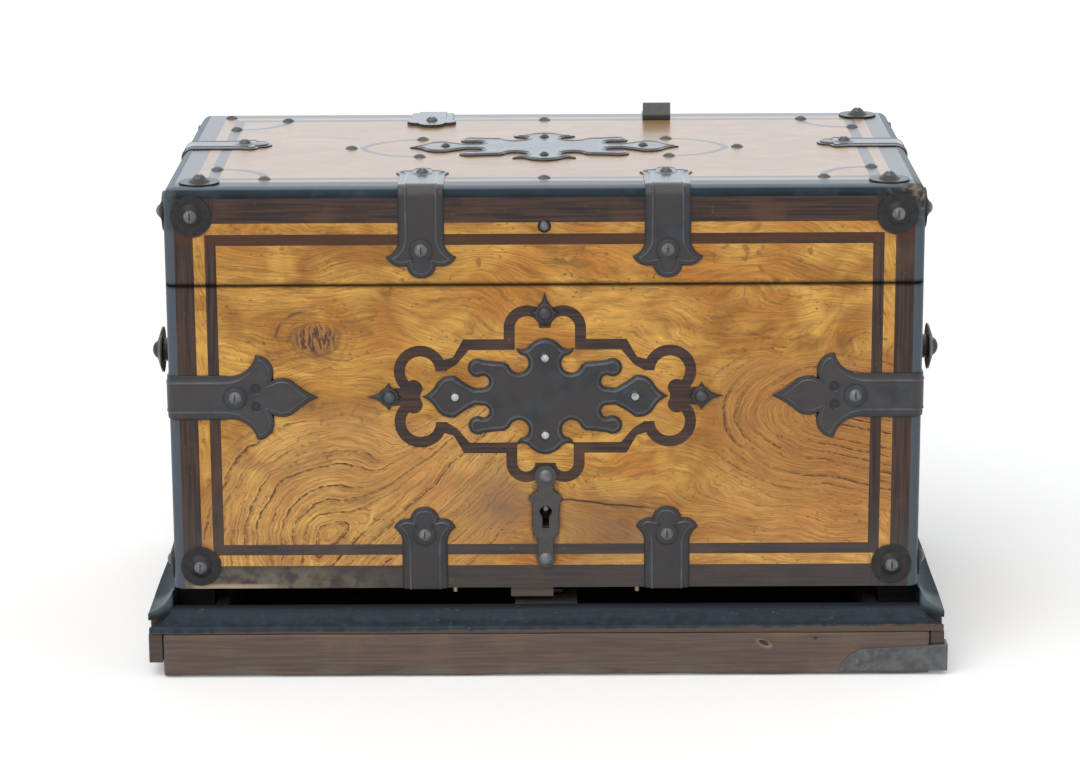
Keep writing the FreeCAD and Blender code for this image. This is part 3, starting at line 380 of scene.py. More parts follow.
bleached = stained.blend(fleck, (0.085, 0.085, 0.062), (0.205, 0.170, 0.118))
bared = across.ramp(44.2, 42.8) * along.ramp(-173.0, -168.0) * along.ramp(-120.0, -145.0) * front
# The inner line on the front of the lid is a warmer brown
warm = across.ramp(211.0, 212.5) * across.ramp(219.0, 217.5) * front
ruddy = stained.blend(streak, (0.040, 0.010, 0.001), (0.080, 0.024, 0.003))
# Along the front edge of the lid top the coat is thinner, and a blue grey band there is painted reflection
# standing in for a wider rounded edge
dull_edge_painted_sheen = top * across.ramp(-85.0, -88.0)
kept = top - dull_edge_painted_sheen * 0.5
dark = stained.blend(streak.ramp(0.3, 0.7), (0.013, 0.007, 0.006), (0.062, 0.028, 0.016))
# The seam is painted black as shade, with Metallic there so that it shows no shine
dark = stained.coats(dark, (cloud.ramp(0.52, 0.72) * 0.6, (0.088, 0.038, 0.018)), (low_band * 0.55, greyed),
                     (rubbed * 0.8, bleached), (bared * cloud.ramp(0.2, 0.4) * 0.8, (0.42, 0.31, 0.22)),
                     (warm * 0.8, ruddy), (seam_shade * 0.95, (0.005, 0.003, 0.002)),
                     (dull_edge_painted_sheen * 0.8, (0.060, 0.066, 0.074)))
gloss = (streak * 0.2 + rubbed * 0.2 + 0.34) * (1.0 - kept * 0.3)
stained.polish({"Base_Color": dark, "Roughness": gloss, "IOR": 1.42, "Metallic": seam_shade, "Coat_Weight": kept,
                "Coat_Roughness": 0.24}, (streak - rubbed * 0.5) * (1.0 - top * 0.7), 0.10)
dress(stained, "body_dark_banding", "lid_dark_banding", "front_strapwork_inlay", "lid_inlay")

# Rounded edge strips
# Quarter round strips of ebonised wood, glued along the corners of the body and round the lid.
# They are paler in patches where hands rub them, and the right front corner of the lid is chipped to the
# wood.
ebony = Finish("ebonised_strip")
wave = ebony.clouds(34.0, 2.0)
fine = ebony.clouds(3.4, 3.0)
rubbed = ebony.clouds(11.0, 3.0).ramp(0.55, 0.72)
at_end = abs(ebony.x).ramp(172.0, 177.0)
# Painted reflection: the upright strips and the ends of the lid are painted a lighter blue grey, and the
# crown of the lid strip a pale blue highlight
painted_upright_sheen = ebony.z.ramp(226.0, 216.0).math("MAXIMUM", at_end * 0.7)
painted_crown_highlight = ebony.z.ramp(236.9, 238.4)
chip = ebony.bell(ebony.x, 179.0, 13.0) * ebony.bell(ebony.y, -100.0, 16.0) * ebony.bell(ebony.z, 234.0, 9.0)
chip = chip * ebony.clouds(4.2, 3.0).ramp(0.40, 0.56)
ground = ebony.blend(fine.ramp(0.4, 0.6), (0.030, 0.020, 0.014), (0.230, 0.165, 0.110))
# The seam is painted black as shade, with Metallic there so that it shows no shine
seam_shade = ebony.bell(ebony.z, seam_z, seam_reach)
jet = ebony.blend(wave.ramp(0.3, 0.7), (0.004, 0.008, 0.012), (0.012, 0.020, 0.027))
jet = ebony.coats(jet, (rubbed * 0.25, (0.050, 0.056, 0.060)), (painted_upright_sheen * 0.8, (0.090, 0.109, 0.128)),
                  (painted_crown_highlight * (wave * 0.3 + 0.7), (0.165, 0.205, 0.240)), (chip, ground),
                  (seam_shade * 0.95, (0.004, 0.004, 0.004)))
ebony.polish({"Base_Color": jet, "Roughness": fine * 0.16 + chip * 0.3 + 0.34, "Metallic": seam_shade, "IOR": 1.28,
              "Specular_Tint": (0.78, 0.90, 1.0, 1.0)}, wave * 2.0 + fine * 0.4 - chip, 0.35)
dress(ebony, "body_corner_strips", "lid_edge_strips")

# Mounts in the middle of the front and of the lid
# Sawn from sheet iron, with a filed bead that follows the outline and a flat field inside it.
# Four rivets hold each one to the wood; the bead is rubbed bright and partly painted highlight, the walls and
# hollows are painted dark, the walls as shade, and brown patches lie over all.


def corners(node):
    """Lowest and highest corner of a piece of the frame, in millimetres."""
    return [np.array(corner) * 1000.0 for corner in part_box(node)]


def arc(start, way, end, pitch):
    """Points after the start of an arc by way of a point, about a pitch apart: the three lie on one circle,
    whose middle is as far from each."""
    sides = 2.0 * np.array((way - start, end - start))
    middle = np.linalg.solve(sides, (way @ way - start @ start, end @ end - start @ start))
    spokes = np.array((start, way, end)) - middle
    first, pass_by, last = np.arctan2(spokes[:, 1], spokes[:, 0])
    turn = (last - first) % (2 * np.pi)
    if (pass_by - first) % (2 * np.pi) > turn:
        turn -= 2 * np.pi
    radius = np.linalg.norm(start - middle)
    count = int(np.ceil(abs(turn) * radius / pitch)) + 3
    angles = first + turn * np.linspace(0, 1, count + 1)[1:]
    return middle + radius * np.stack((np.cos(angles), np.sin(angles)), axis=1)


def traced(start, steps, pitch):
    """Points along lines and arcs: two numbers end a line, four are an arc's way point and end."""
    here = np.array(start, float)
    runs = [here[None]]
    for step in steps:
        end = np.array(step[-2:], float)
        if len(step) == 4:
            runs.append(arc(here, np.array(step[:2], float), end, pitch))
        else:
            count = int(np.ceil(np.linalg.norm(end - here) / pitch))
            runs.append(here + np.linspace(0, 1, count + 1)[1:, None] * (end - here))
        here = end
    return np.concatenate(runs)


def inset(outline, depth):
    """A closed outline drawn in by one depth or by a depth for each point, square to the point's two sides.
    A point that comes nearer than its depth to any side is put on the line between its sound neighbours."""
    depth = np.broadcast_to(depth, len(outline))
    span = np.roll(outline, -1, axis=0) - outline
    ahead = span / np.maximum(np.linalg.norm(span, axis=1, keepdims=True), 1e-9)
    mean = ahead + np.roll(ahead, 1, axis=0)
    mean /= np.maximum(np.linalg.norm(mean, axis=1, keepdims=True), 1e-9)
    lean = np.clip(np.sum(mean * ahead, axis=1, keepdims=True), 0.5, 1.0)
    moved = outline + depth[:, None] / lean * np.stack((-mean[:, 1], mean[:, 0]), axis=1)
    reach = moved[:, None] - outline[None]
    share = np.sum(reach * span, axis=2) / np.maximum(np.sum(span * span, axis=1), 1e-12)
    nearest = np.linalg.norm(reach - np.clip(share, 0, 1)[..., None] * span, axis=2).min(axis=1)
    number = np.arange(len(outline))
    sound = nearest > 0.98 * depth - 1e-6
    kept = [np.interp(number, number[sound], moved[sound, axis], period=len(outline)) for axis in (0, 1)]
    return np.stack(kept, axis=1)


def quads(columns, rows):
    """Faces of a grid of points kept column by column, where the last column meets the first."""
    column = np.arange(columns)[:, None]
    row = np.arange(rows - 1)[None]
    near = column * rows + row
    far_side = (column + 1) % columns * rows + row
    return np.stack((near, near + 1, far_side + 1, far_side), axis=-1).reshape(-1, 4)


def relief_plate(outline, profile):
    """A plate over a closed outline drawn anticlockwise: each row of its profile is the outline drawn in, its
    lift and its tone, rings that follow one another are joined, and the first and last are filled."""
    count = len(outline)
    rings = [np.column_stack((inset(outline, depth) if depth else outline, np.full((count, 2), (lift, tone))))
             for depth, lift, tone in profile]
    faces = quads(count, len(profile))[:, ::-1].tolist()
    start = np.arange(count) * len(profile)
    faces += [start[::-1].tolist(), (start + len(profile) - 1).tolist()]
    return np.stack(rings, axis=1).reshape(-1, 4), faces


def laid(points, origin, across, along, out):
    """Flat points turned so that their three parts run across, along and out from an origin; tones stay."""
    return np.column_stack((origin + points[:, :3] @ np.array((across, along, out), float), points[:, 3:]))


def joined(*shapes):
    """Several shapes of points and faces as one."""
    starts = np.cumsum([0] + [len(points) for points, _ in shapes[:-1]])
    faces = []
    for start, (_, part) in zip(starts.tolist(), shapes):
        faces += [[number + start for number in face] for face in part]
    return np.concatenate([points for points, _ in shapes]), faces


def lay(name, shape, finish, body, slot, *nodes, smooth=40.0):
    """Makes a piece of points in millimetres, with a tone each if they have four parts: closes its seams,
    rides it on a body and puts it in place of nodes."""
    points, faces = shape
    mesh = bpy.data.meshes.new(name)
    mesh.from_pydata((points[:, :3] * 0.001).tolist(), [], faces)
    if points.shape[1] > 3:
        tones = mesh.attributes.new("tone", "FLOAT", "POINT")
        tones.data.foreach_set("value", points[:, 3].astype(np.float32))
    seams = bmesh.new()
    seams.from_mesh(mesh)
    bmesh.ops.remove_doubles(seams, verts=seams.verts, dist=2e-6)
    bmesh.ops.dissolve_degenerate(seams, edges=seams.edges, dist=1e-6)
    seams.to_mesh(mesh)
    seams.free()
    mesh.shade_smooth()
    mesh.set_sharp_from_angle(angle=np.radians(smooth))
    mesh.materials.append(finish.owner)
    piece = bpy.data.objects.new(name, mesh)
    bpy.context.scene.collection.objects.link(piece)
    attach(piece, body)
    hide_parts(*nodes)


iron = Finish("patinated_iron")
round_normal, edge = iron.rounded(0.5)
*_, top = iron.grain()
tone = iron.add("ShaderNodeAttribute", {"attribute_name": "tone"}, {}, "Fac")
hammer = iron.clouds(9.0, 2.0)
scale = iron.clouds(1.6, 3.0)
brown = iron.clouds(21.0, 3.0)
dented = hammer.ramp(0.3, 0.7)
off_centre = abs(iron.x)
on_front = iron.y.ramp(-100.0, -101.0)
metal = iron.blend(dented, (0.013, 0.014, 0.016), (0.027, 0.029, 0.033))
metal = iron.blend(brown.ramp(0.34, 0.56) * 0.85, metal, (0.033, 0.022, 0.021))
metal = iron.scaled(metal, off_centre.ramp(95.0, 140.0) * 0.3 + 1.0)
# Edges are rubbed lighter. Where a plate's tone is high, on the bead, it is rubbed bright and partly painted
# highlight; where it is low, on the walls and hollows, it is painted dark as shade
metal = iron.coats(metal, (edge * scale.ramp(0.3, 0.6) * 0.45, (0.075, 0.084, 0.096)),
                   (tone.ramp(0.1, 1.0) * (dented * 0.5 + 0.2), (0.095, 0.108, 0.124)),
                   (scale.ramp(0.70, 0.80) * 0.3, (0.085, 0.082, 0.080)))
metal = iron.scaled(metal, 1.0 - tone.ramp(-0.1, -1.0) * 0.85)
# Iron beyond the corners, the handle posts seen edge on, is painted darker as shade
metal = iron.scaled(metal, 1.0 - off_centre.ramp(183.0, 184.0) * 0.7)
# Two ringed holes in each lily end of the corner straps
lily_low, lily_high = corners("corner_strap_left")
hole_from_tip, hole_off_middle = 29.6, 4.5
hole_out = off_centre + lily_high[0] - hole_from_tip
hole_up = abs(iron.z - (lily_low[2] + lily_high[2]) / 2) - hole_off_middle
to_hole = far(hole_out, hole_up)
hole = to_hole.ramp(2.7, 2.0) * (to_hole.ramp(0.2, 1.1) * 0.5 + 0.5) * on_front
# The key plate is rubbed by keys, and the leaf broken off the right hinge strap is bare metal
keyhole_shade_and_key_wear = off_centre.ramp(10.0, 9.0) * iron.z.ramp(104.0, 102.0) * iron.z.ramp(50.0, 52.0)
bare = iron.z.ramp(240.5, 241.4) * iron.y.ramp(77.0, 78.0)
metal = iron.coats(metal, (hole * 0.9, (0.004, 0.004, 0.004)),
                   (keyhole_shade_and_key_wear * on_front * scale * 0.9, (0.078, 0.066, 0.062)),
                   (bare * (scale * 0.4 + 0.6), (0.150, 0.182, 0.166)))
gloss = (scale * 0.22 + brown * 0.12 + 0.27) * (1.0 - top * 0.4)
iron.polish({"Base_Color": metal, "Roughness": gloss, "IOR": 1.5, "Coat_Weight": top, "Coat_Roughness": 0.18,
             "Specular_Tint": (0.90, 0.96, 1.0, 1.0)},
            (hammer * 1.5 + scale * 0.35) * (1.0 - top * 0.7) - hole * 2.0, 0.22, round_normal)

mount_quarter = ((0.072, 0.958, 0.130, 0.860), (0.174, 0.811, 0.232, 0.832), (0.208, 0.741, 0.162, 0.703),
                 (0.171, 0.430, 0.294, 0.531), (0.331, 0.587), (0.418, 0.601, 0.510, 0.626),
                 (0.626, 0.497, 0.512, 0.364), (0.454, 0.259, 0.509, 0.150), (0.570, 0.140),
                 (0.647, 0.227, 0.729, 0.350), (0.831, 0.322, 0.891, 0.189), (0.937, 0.080, 1.0, 0.0))
# How far the outline is drawn in, how high it stands there, and its tone: low is painted shade, high is
# rubbed and partly painted highlight
mount_profile = ((0.0, 0.0, -1.0), (0.0, 0.45, -1.0), (0.12, 0.62, -1.0), (0.5, 0.8, -0.8),
                 (0.95, 0.88, -0.6), (1.25, 1.1, 0.4), (1.55, 1.35, 1.0), (1.85, 1.42, 1.0),
                 (2.15, 1.35, 0.6), (2.45, 1.15, -0.6), (2.75, 1.08, -0.4), (3.2, 1.1, 0.0))
rivet_pad = ((2.6, 0.8, -1.0), (2.5, 1.2, -0.8), (2.3, 1.5, -0.2), (2.0, 1.65, 0.1), (1.4, 1.7, 0.0),
             (0.0, 1.7, 0.0))
rivet_share = np.array(((0.734, 0.0), (-0.734, 0.0), (0.0, 0.664), (0.0, -0.664)))
mount_pitch = 0.7
RIGHT, BACK, UP = np.eye(3)
LEFT, FRONT, DOWN = -np.eye(3)


def turned(profile, count):
    """A profile of radius, height and tone turned round the upright axis, closed where it meets the axis."""
    radius, height, tone = np.array(profile, float).T
    angle = -2 * np.pi * np.arange(count)[:, None] / count
    level = 0 * angle
    points = np.stack((radius * np.cos(angle), radius * np.sin(angle), height + level, tone + level), axis=-1)
    return points.reshape(-1, 4), quads(count, len(profile)).tolist()


def mount_outline(half_length, half_height):
    """The quarter outline of lines and arcs, in shares of the half sizes, mirrored to all four sides."""
    size = np.array((half_length, half_height))
    steps = [tuple(np.array(step) * np.tile(size, len(step) // 2)) for step in mount_quarter]
    down = traced((0.0, half_height), steps, mount_pitch)
    rise = down[::-1]
    return np.concatenate((rise[:-1], down[:-1] * (-1, 1), rise[:-1] * (-1, -1), down[:-1] * (1, -1)))


for name, body, out, rise in (("front_mount", "carcass", FRONT, UP), ("lid_mount", "lid", UP, BACK)):
    low, high = corners(name)
    half = (high - low) / 2
    middle = (low + high) / 2 - out * (half @ np.abs(out))
    half_length, half_height = half @ RIGHT, half @ np.abs(rise)
    plate = relief_plate(mount_outline(half_length, half_height), mount_profile)
    pad_points, pad_faces = turned(rivet_pad, 28)
    pads = [(pad_points + (*spot, 0.0, 0.0), pad_faces) for spot in rivet_share * (half_length, half_height)]
    points, faces = joined(plate, *pads)
    lay(name + "_relief", (laid(points, middle, RIGHT, rise, out), faces), iron, body, "black_iron", name)

# Star bosses of the strapwork
# Small iron stars at the three outer ends of the inlaid strapwork, each with a disc and a turned dome.
# One nail under the dome holds each to the front board.
star_tip, star_barb, star_tail, star_middle = 10.3, 6.8, 6.0, 74.5
star_steps = [(0.34 * star_barb, -0.4 * star_tail, star_barb, 0.0),
              (0.42 * star_barb, 0.32 * star_tip, 0.0, star_tip)]
star_half = traced((0.0, -star_tail), star_steps, 0.35)
star_outline = np.concatenate((star_half, star_half[-2:0:-1] * (-1, 1)))
# Star and dome tones: the walls are painted dark as shade, and the dome is painted lighter towards its top as
# highlight
star_profile = ((0.0, 0.0, -1.0), (0.0, 0.7, -1.0), (0.2, 1.0, -0.7), (0.6, 1.3, -0.3), (0.9, 1.4, 0.0))
dome_radius, dome_foot, dome_height = 3.2, 1.55, 2.2
dome_turn = np.linspace(0, np.pi / 2, 9)
dome_rise = np.stack((dome_radius * np.cos(dome_turn), dome_foot + dome_height * np.sin(dome_turn),
                      np.linspace(0.0, 1.0, 9)), axis=1)
star_rim = ((4.6, 0.0, -1.0), (4.6, 1.1, -0.8), (4.35, 1.45, 0.0), (3.8, 1.6, 0.3), (3.4, 1.5, -1.0))
star_cap = turned([*star_rim, *dome_rise], 40)
star_points, star_faces = joined(relief_plate(star_outline, star_profile), star_cap)
low, high = corners("strapwork_bosses")
front_y = high[1]
middle_z = low[2] + star_barb
star_seats = (((0.0, front_y, high[2] - star_tip), UP), ((star_middle, front_y, middle_z), RIGHT),
              ((-star_middle, front_y, middle_z), LEFT))
stars = [(laid(star_points, np.array(spot), np.cross(rise, FRONT), rise, FRONT), star_faces)
         for spot, rise in star_seats]
lay("star_bosses", joined(*stars), iron, "carcass", "black_iron", "strapwork_bosses")

# Straps bent over the edges
# Iron straps forged with a raised rib between two lower borders, bent round the edges of the chest.
# Their ends are cut to trefoils, or to lilies at the front corners, and screwed down.
strap_pitch = 0.8
strap_half = 10.85
strip_radius = 5.0
fold_radius = 0.4
screw_past_neck = 5.0
front_lobe, top_lobe, foot_lobe = 16.6, 12.6, 14.8
# How far the outline is drawn in, how high it stands there, and its tone: low is painted shade, high is
# rubbed and partly painted highlight
strap_profile = ((0.0, 0.0, -1.0), (0.0, 0.45, -1.0), (0.12, 0.6, -1.0), (0.5, 0.72, -0.7), (1.5, 0.8, -0.3),
                 (2.9, 0.85, -0.3), (3.25, 1.05, 0.5), (3.55, 1.3, 0.9), (3.9, 1.32, 0.9), (4.2, 1.22, 0.3),
                 (4.5, 1.08, -0.6), (4.9, 1.06, -0.2), (5.4, 1.1, 0.0))
rib_lift = 0.95
plain_end, longest_trefoil = 10.0, 30.0
leaf_ridge_half, leaf_ridge_length, leaf_ridge_fade = 3.0, 23.0, 4.0
# The swell on each leaf and tip is painted lighter as highlight, and the groove round each screw collar is
# painted dark as shade
tip_swell_at, tip_swell_spread = 5.2, 12.0
swell_lift, swell_painted_highlight = 0.4, 0.3
collar_radius, collar_slope, collar_lift = 5.6, 1.6, 0.5
groove_radius, groove_half, groove_painted_shade = 5.4, 0.7, 0.9


def trefoil(lobe):
    """Half outline of a three lobed end, from its neck to its tip, with its side lobes so far out."""
    lobe_at, notch, notch_at, length = 8.4, 6.8, 12.6, 18.6
    steps = [(strap_half + 0.2 * (lobe - strap_half), 0.57 * lobe_at, lobe, lobe_at),
             (0.84 * lobe, 0.92 * notch_at, notch, notch_at), (0.72 * notch, 0.905 * length, 0.0, length)]
    return traced((strap_half, 0.0), steps, strap_pitch)


def lily():
    """Half outline of a lily end, from its neck to its tip."""
    lobe, lobe_at, notch, notch_at, leaf, leaf_at, length = 20.8, 15.2, 8.0, 22.3, 7.4, 33.2, 44.6
    steps = [(0.6 * lobe, 0.62 * lobe_at, lobe, lobe_at), (0.84 * lobe, 0.97 * notch_at, notch, notch_at),
             (1.18 * notch, 0.78 * leaf_at, leaf, leaf_at), (0.5 * leaf, 0.85 * length, 0.0, length)]
    return traced((strap_half, 0.0), steps, strap_pitch)


def square_end():
    """Half outline of a plain end with its corner taken off."""
    return traced((strap_half, 0.0), [(strap_half, 2.0), (strap_half - 1.0, 3.0), (0.0, 3.0)], strap_pitch)


def strap_sheet(first, run, last):
    """A strap laid flat, tip to tip: its outline is mirrored about the middle line, each row of the profile
    draws it in, less in the heads, and gives its lift and tone, and rungs join its sides across the rib."""
    first_length, last_length = first[-1, 1], last[-1, 1]
    start = np.column_stack((first[:, 0], first_length - first[:, 1]))[::-1]
    end = np.column_stack((last[:, 0], first_length + run + last[:, 1]))
    count = int(run / strap_pitch)
    between = first_length + run * np.arange(1, count) / count
    half = np.concatenate((start, np.column_stack((np.full(count - 1, strap_half), between)), end))
    outline = np.concatenate((half, half[-2:0:-1] * (-1, 1)))
    rows = len(half)
    into_head = np.maximum(first_length - outline[:, 1], outline[:, 1] - first_length - run)
    narrowed = 1.0 - 0.45 * np.clip(into_head / 9.0, 0, 1)
    rings = np.stack([inset(outline, depth * narrowed) if depth else outline for depth, *_ in strap_profile])
    right = rings[:, :rows]
    left = rings[:, -np.arange(rows)]
    inner = np.column_stack((right[-1, :, 0], np.maximum.accumulate(right[-1, :, 1])))
    share = np.linspace(1, -1, 17)[:, None]
    rungs = np.stack((inner[None, :, 0] * share, inner[None, :, 1] + 0 * share), axis=-1)
    flat = np.concatenate((right[:-1], rungs, left[-2::-1]))
    relief = np.array(strap_profile)[:, 1:]
    relief = np.concatenate((relief[:-1], np.repeat(relief[-1:], len(rungs), axis=0), relief[-2::-1]))
    sheet = np.concatenate((flat, np.broadcast_to(relief[:, None], flat.shape)), axis=2)
    whole = first_length + run + last_length
    for tip, inward, length in ((0.0, 1.0, first_length), (whole, -1.0, last_length)):
        if length < plain_end:
            continue
        across = sheet[..., 0]
        depth = (sheet[..., 1] - tip) * inward
        if length > longest_trefoil:
            fade = np.clip((leaf_ridge_length - depth) / leaf_ridge_fade, 0, 1)
            swell = np.exp(-np.square(across / leaf_ridge_half)) * fade
        else:
            swell = np.exp(-(np.square(across) + np.square(depth - tip_swell_at)) / tip_swell_spread)
        to_screw = np.hypot(across, depth - length + screw_past_neck)
        collar = np.clip((collar_radius - to_screw) / collar_slope, 0, 1)
        groove = np.exp(-np.square((to_screw - groove_radius) / groove_half))
        inside = sheet[..., 2] > rib_lift
        eased_collar = collar * collar * (3 - 2 * collar)
        sheet[..., 2] += inside * np.maximum(swell_lift * swell, collar_lift * eased_collar)
        sheet[..., 3] += inside * (swell_painted_highlight * swell - groove_painted_shade * groove)
    return sheet, quads(len(flat), rows).tolist()


def bent(sheet, start, rise, out, run, radius):
    """A flat sheet wrapped round an edge: its length runs up one face, turns through a quarter circle of a
    radius and goes on over the edge, and its lift stands square to that path; tones stay."""
    across, length, lift, tone = np.moveaxis(sheet, 2, 0)[..., None]
    turn = np.clip((length - run) / radius, 0, np.pi / 2)
    square = np.cos(turn) * out + np.sin(turn) * rise
    beyond = np.maximum(length - run - radius * np.pi / 2, 0)
    path = start + np.minimum(length, run) * rise - (radius + beyond) * out
    place = path + (radius + lift) * square + across * np.cross(rise, out)
    return np.concatenate((place, tone), axis=-1).reshape(-1, 4)


def add_strap(node, body, tip, rise, out, run, radius, over, first, last):
    """Lays one strap from the tip of its first end, over the edge, to the tip of its last end."""
    straight = run + radius * np.pi / 2 + over - first[-1, 1] - last[-1, 1]
    sheet, faces = strap_sheet(first, straight, last)
    lay(node + "_forged", (bent(sheet, tip, rise, out, run, radius), faces), iron, body, "black_iron", node)


body_low, body_high = corners("body_corner_strips")
lid_low, lid_high = corners("lid_edge_strips")
for name, way in (("left", LEFT), ("right", RIGHT)):
    node = "bottom_strap_" + name
    low, high = corners(node)
    tip = np.array(((low[0] + high[0]) / 2, body_low[1], high[2]))
    add_strap(node, "carcass", tip, DOWN, FRONT, high[2] - body_low[2] - fold_radius, fold_radius,
              high[1] - body_low[1] - fold_radius, trefoil(foot_lobe), square_end())
    node = "corner_strap_" + name
    low, high = corners(node)
    tip_x = (high if name == "left" else low)[0]
    tip = np.array((tip_x, body_low[1], (low[2] + high[2]) / 2))
    add_strap(node, "carcass", tip, way, FRONT, body_high[0] - strip_radius - abs(tip_x), strip_radius,
              high[1] - body_low[1] - strip_radius, lily(), trefoil(foot_lobe))
    node = "lid_front_strap_" + name
    low, high = corners(node)
    tip = np.array(((low[0] + high[0]) / 2, lid_low[1], low[2]))
    add_strap(node, "lid", tip, UP, FRONT, lid_high[2] - strip_radius - low[2], strip_radius,
              high[1] - lid_low[1] - strip_radius, trefoil(front_lobe), trefoil(top_lobe))
    node = "lid_side_strap_" + name
    low, high = corners(node)
    tip = np.array((way[0] * lid_high[0], (low[1] + high[1]) / 2, low[2]))
    inner_x = min(abs(low[0]), abs(high[0]))
    add_strap(node, "lid", tip, UP, way, lid_high[2] - strip_radius - low[2], strip_radius,
              lid_high[0] - strip_radius - inner_x, trefoil(foot_lobe), trefoil(top_lobe))

# Hinges, key plate and handles
# Forged iron: straps rolled into knuckles at the back of the lid, leaves on the back board, a sawn
# key plate, and turned posts on the ends that carry the drop handles.
dress(iron, "hinge_strap_left", "hinge_strap_right", "hinge_leaves", "hinge_pins", "key_plate",
      "handle_posts", "bail_left", "bail_right")

# Screws and studs
# Slotted screws and round headed studs of turned iron, brighter than the straps because the heads
# stand proud and are rubbed. The stud on the front of the lid is dark, with a rim painted darker still as
# shade that has no shine, and the slots are painted dark as shade.
heads = Finish("turned_iron_heads")
round_normal, edge = heads.rounded(0.35)
grime = heads.clouds(4.0, 3.0)
grit = heads.clouds(0.9, 2.0)
mount_low, mount_high = corners("front_mount")
on_mount = heads.z.ramp(mount_low[2], mount_low[2] + 2.0) * heads.z.ramp(mount_high[2], mount_high[2] - 2.0)
on_mount = on_mount * heads.y.ramp(-102.2, -102.8) * abs(heads.x).ramp(60.0, 58.0)
metal = heads.blend(grime.ramp(0.3, 0.7), (0.046, 0.048, 0.052), (0.096, 0.100, 0.106))
metal = heads.scaled(metal, heads.z.ramp(30.0, 34.0) * heads.z.ramp(237.6, 236.6) * 0.7 + 1.0)
metal = heads.coats(metal, (edge * grit.ramp(0.3, 0.6) * 0.7, (0.210, 0.215, 0.225)),
                    (on_mount * grime.ramp(0.25, 0.5), (0.46, 0.46, 0.45)))
lone_radius = 3.2
low, _ = corners("lid_studs")
off_middle = far(heads.x, heads.z - low[2] - lone_radius)
lone = heads.y.ramp(-100.0, -101.0) * off_middle.ramp(4.0, 3.6) * heads.z.ramp(205.0, 206.0)
# The rim of the stud on the front of the lid is painted darker as shade
stud_rim_shade = off_middle.ramp(0.8, 2.6)
metal = heads.scaled(metal, 1.0 - lone * (stud_rim_shade * 0.65 + 0.15))
# Slots and creases in each head are painted dark as shade
metal = heads.scaled(metal, heads.nooks(1.4, only_local=True).ramp(0.35, 0.85) * 0.9 + 0.1)
heads.polish({"Base_Color": metal, "Roughness": grit * 0.2 + 0.28, "Metallic": lone * stud_rim_shade * 0.85,
              "IOR": 1.55}, grit, 0.08, round_normal)
dress(heads, "body_screws", "body_studs", "lid_screws", "lid_studs")

# Washers
# Domed iron washers with a flat rim, under the screws near the corners of the faces.
# They are left dark from the forge and shine less than the straps.
dark_iron = Finish("dark_washers")
round_normal, edge = dark_iron.rounded(0.5)
*_, top = dark_iron.grain()
soot = dark_iron.clouds(3.0, 3.0)
metal = dark_iron.blend(soot.ramp(0.3, 0.7), (0.012, 0.010, 0.011), (0.026, 0.022, 0.023))
metal = dark_iron.blend(edge * 0.35, metal, (0.050, 0.052, 0.056))
dark_iron.polish({"Base_Color": metal, "Roughness": soot * 0.2 + 0.40, "IOR": 1.36, "Coat_Weight": top * 0.8,
                  "Coat_Roughness": 0.24}, soot, 0.08, round_normal)
dress(dark_iron, "body_boss_washers", "lid_boss_washers")

# Lock
# A sheet steel case screwed behind the front board, with a sliding bolt that drops into the drawer.
# Oiled and clean beside the iron on the outside.
steel = Finish("oiled_steel")
round_normal, edge = steel.rounded(0.4)
brushed = steel.noise(steel.vector(steel.x / 14.0, steel.y / 6.0, steel.z / 0.5), 3.0)
metal = steel.blend(brushed, (0.16, 0.155, 0.15), (0.30, 0.295, 0.285))
metal = steel.blend(edge * 0.6, metal, (0.5, 0.49, 0.47))
steel.polish({"Base_Color": metal, "Roughness": brushed * 0.2 + 0.28, "Metallic": 0.85}, brushed, 0.03,
             round_normal)
dress(steel, "lock_case", "lock_bolt", "drawer_strike")

# Plinth boards
# Stained pine boards round the foot, lapped by the drawer front, and a short fillet above it.
# Shade is painted into the corners, under the moulding and onto the ends, and the front has a knot hole and a
# nail hole.
pine = Finish("stained_pine")
along, across, through, *_ = pine.grain()
wander = pine.figure(120.0, 18.0, 30.0)
streak = pine.noise(pine.vector(along / 45.0, across / 1.5 + wander * 5.0, through / 4.0), 4.0)
hair = pine.figure(9.0, 0.45, 2.0)
grime = pine.clouds(26.0, 4.0)
board = pine.blend(streak.ramp(0.28, 0.72), (0.072, 0.048, 0.037), (0.118, 0.077, 0.057))
board = pine.coats(board, (grime.ramp(0.48, 0.70) * 0.6, (0.155, 0.092, 0.056)),
                   (across.ramp(9.0, 1.5) * grime.ramp(0.35, 0.6) * 0.6, (0.120, 0.108, 0.084)))
board = pine.scaled(board, hair * 0.5 + 0.72)
hole_x, hole_z, hole_lean = 105.0, 16.4, 0.9
hole_length, hole_width = 3.0, 2.2
nail_x, nail_z = 129.8, 19.0
on_front = pine.y.ramp(-105.0, -109.0)
hollow = pine.bell(pine.x + (pine.z - hole_z) * hole_lean, hole_x, hole_length)
hollow = hollow * pine.bell(pine.z, hole_z, hole_width) * on_front
nail_hole = pine.bell(pine.x, nail_x, 1.1) * pine.bell(pine.z, nail_z, 0.9) * on_front
board = pine.coats(board, (hollow.ramp(0.15, 0.4), (0.190, 0.125, 0.080)),
                   (hollow.ramp(0.50, 0.75), (0.030, 0.017, 0.011)),
                   (nail_hole.ramp(0.2, 0.6), (0.022, 0.014, 0.010)))
# The ends are painted darker as shade
board = pine.scaled(board, 1.0 - abs(pine.x).ramp(184.6, 185.4) * 0.4)
# Shade is painted into corners and under the moulding
board = pine.scaled(board, pine.nooks(2.5).ramp(0.35, 0.95) * 0.65 + 0.35)
pine.polish({"Base_Color": board, "Roughness": streak * 0.2 + 0.36, "IOR": 1.46}, streak + hair * 0.4, 0.22)
dress(pine, "plinth_left_board", "plinth_right_board", "plinth_back_board", "fillet_block")

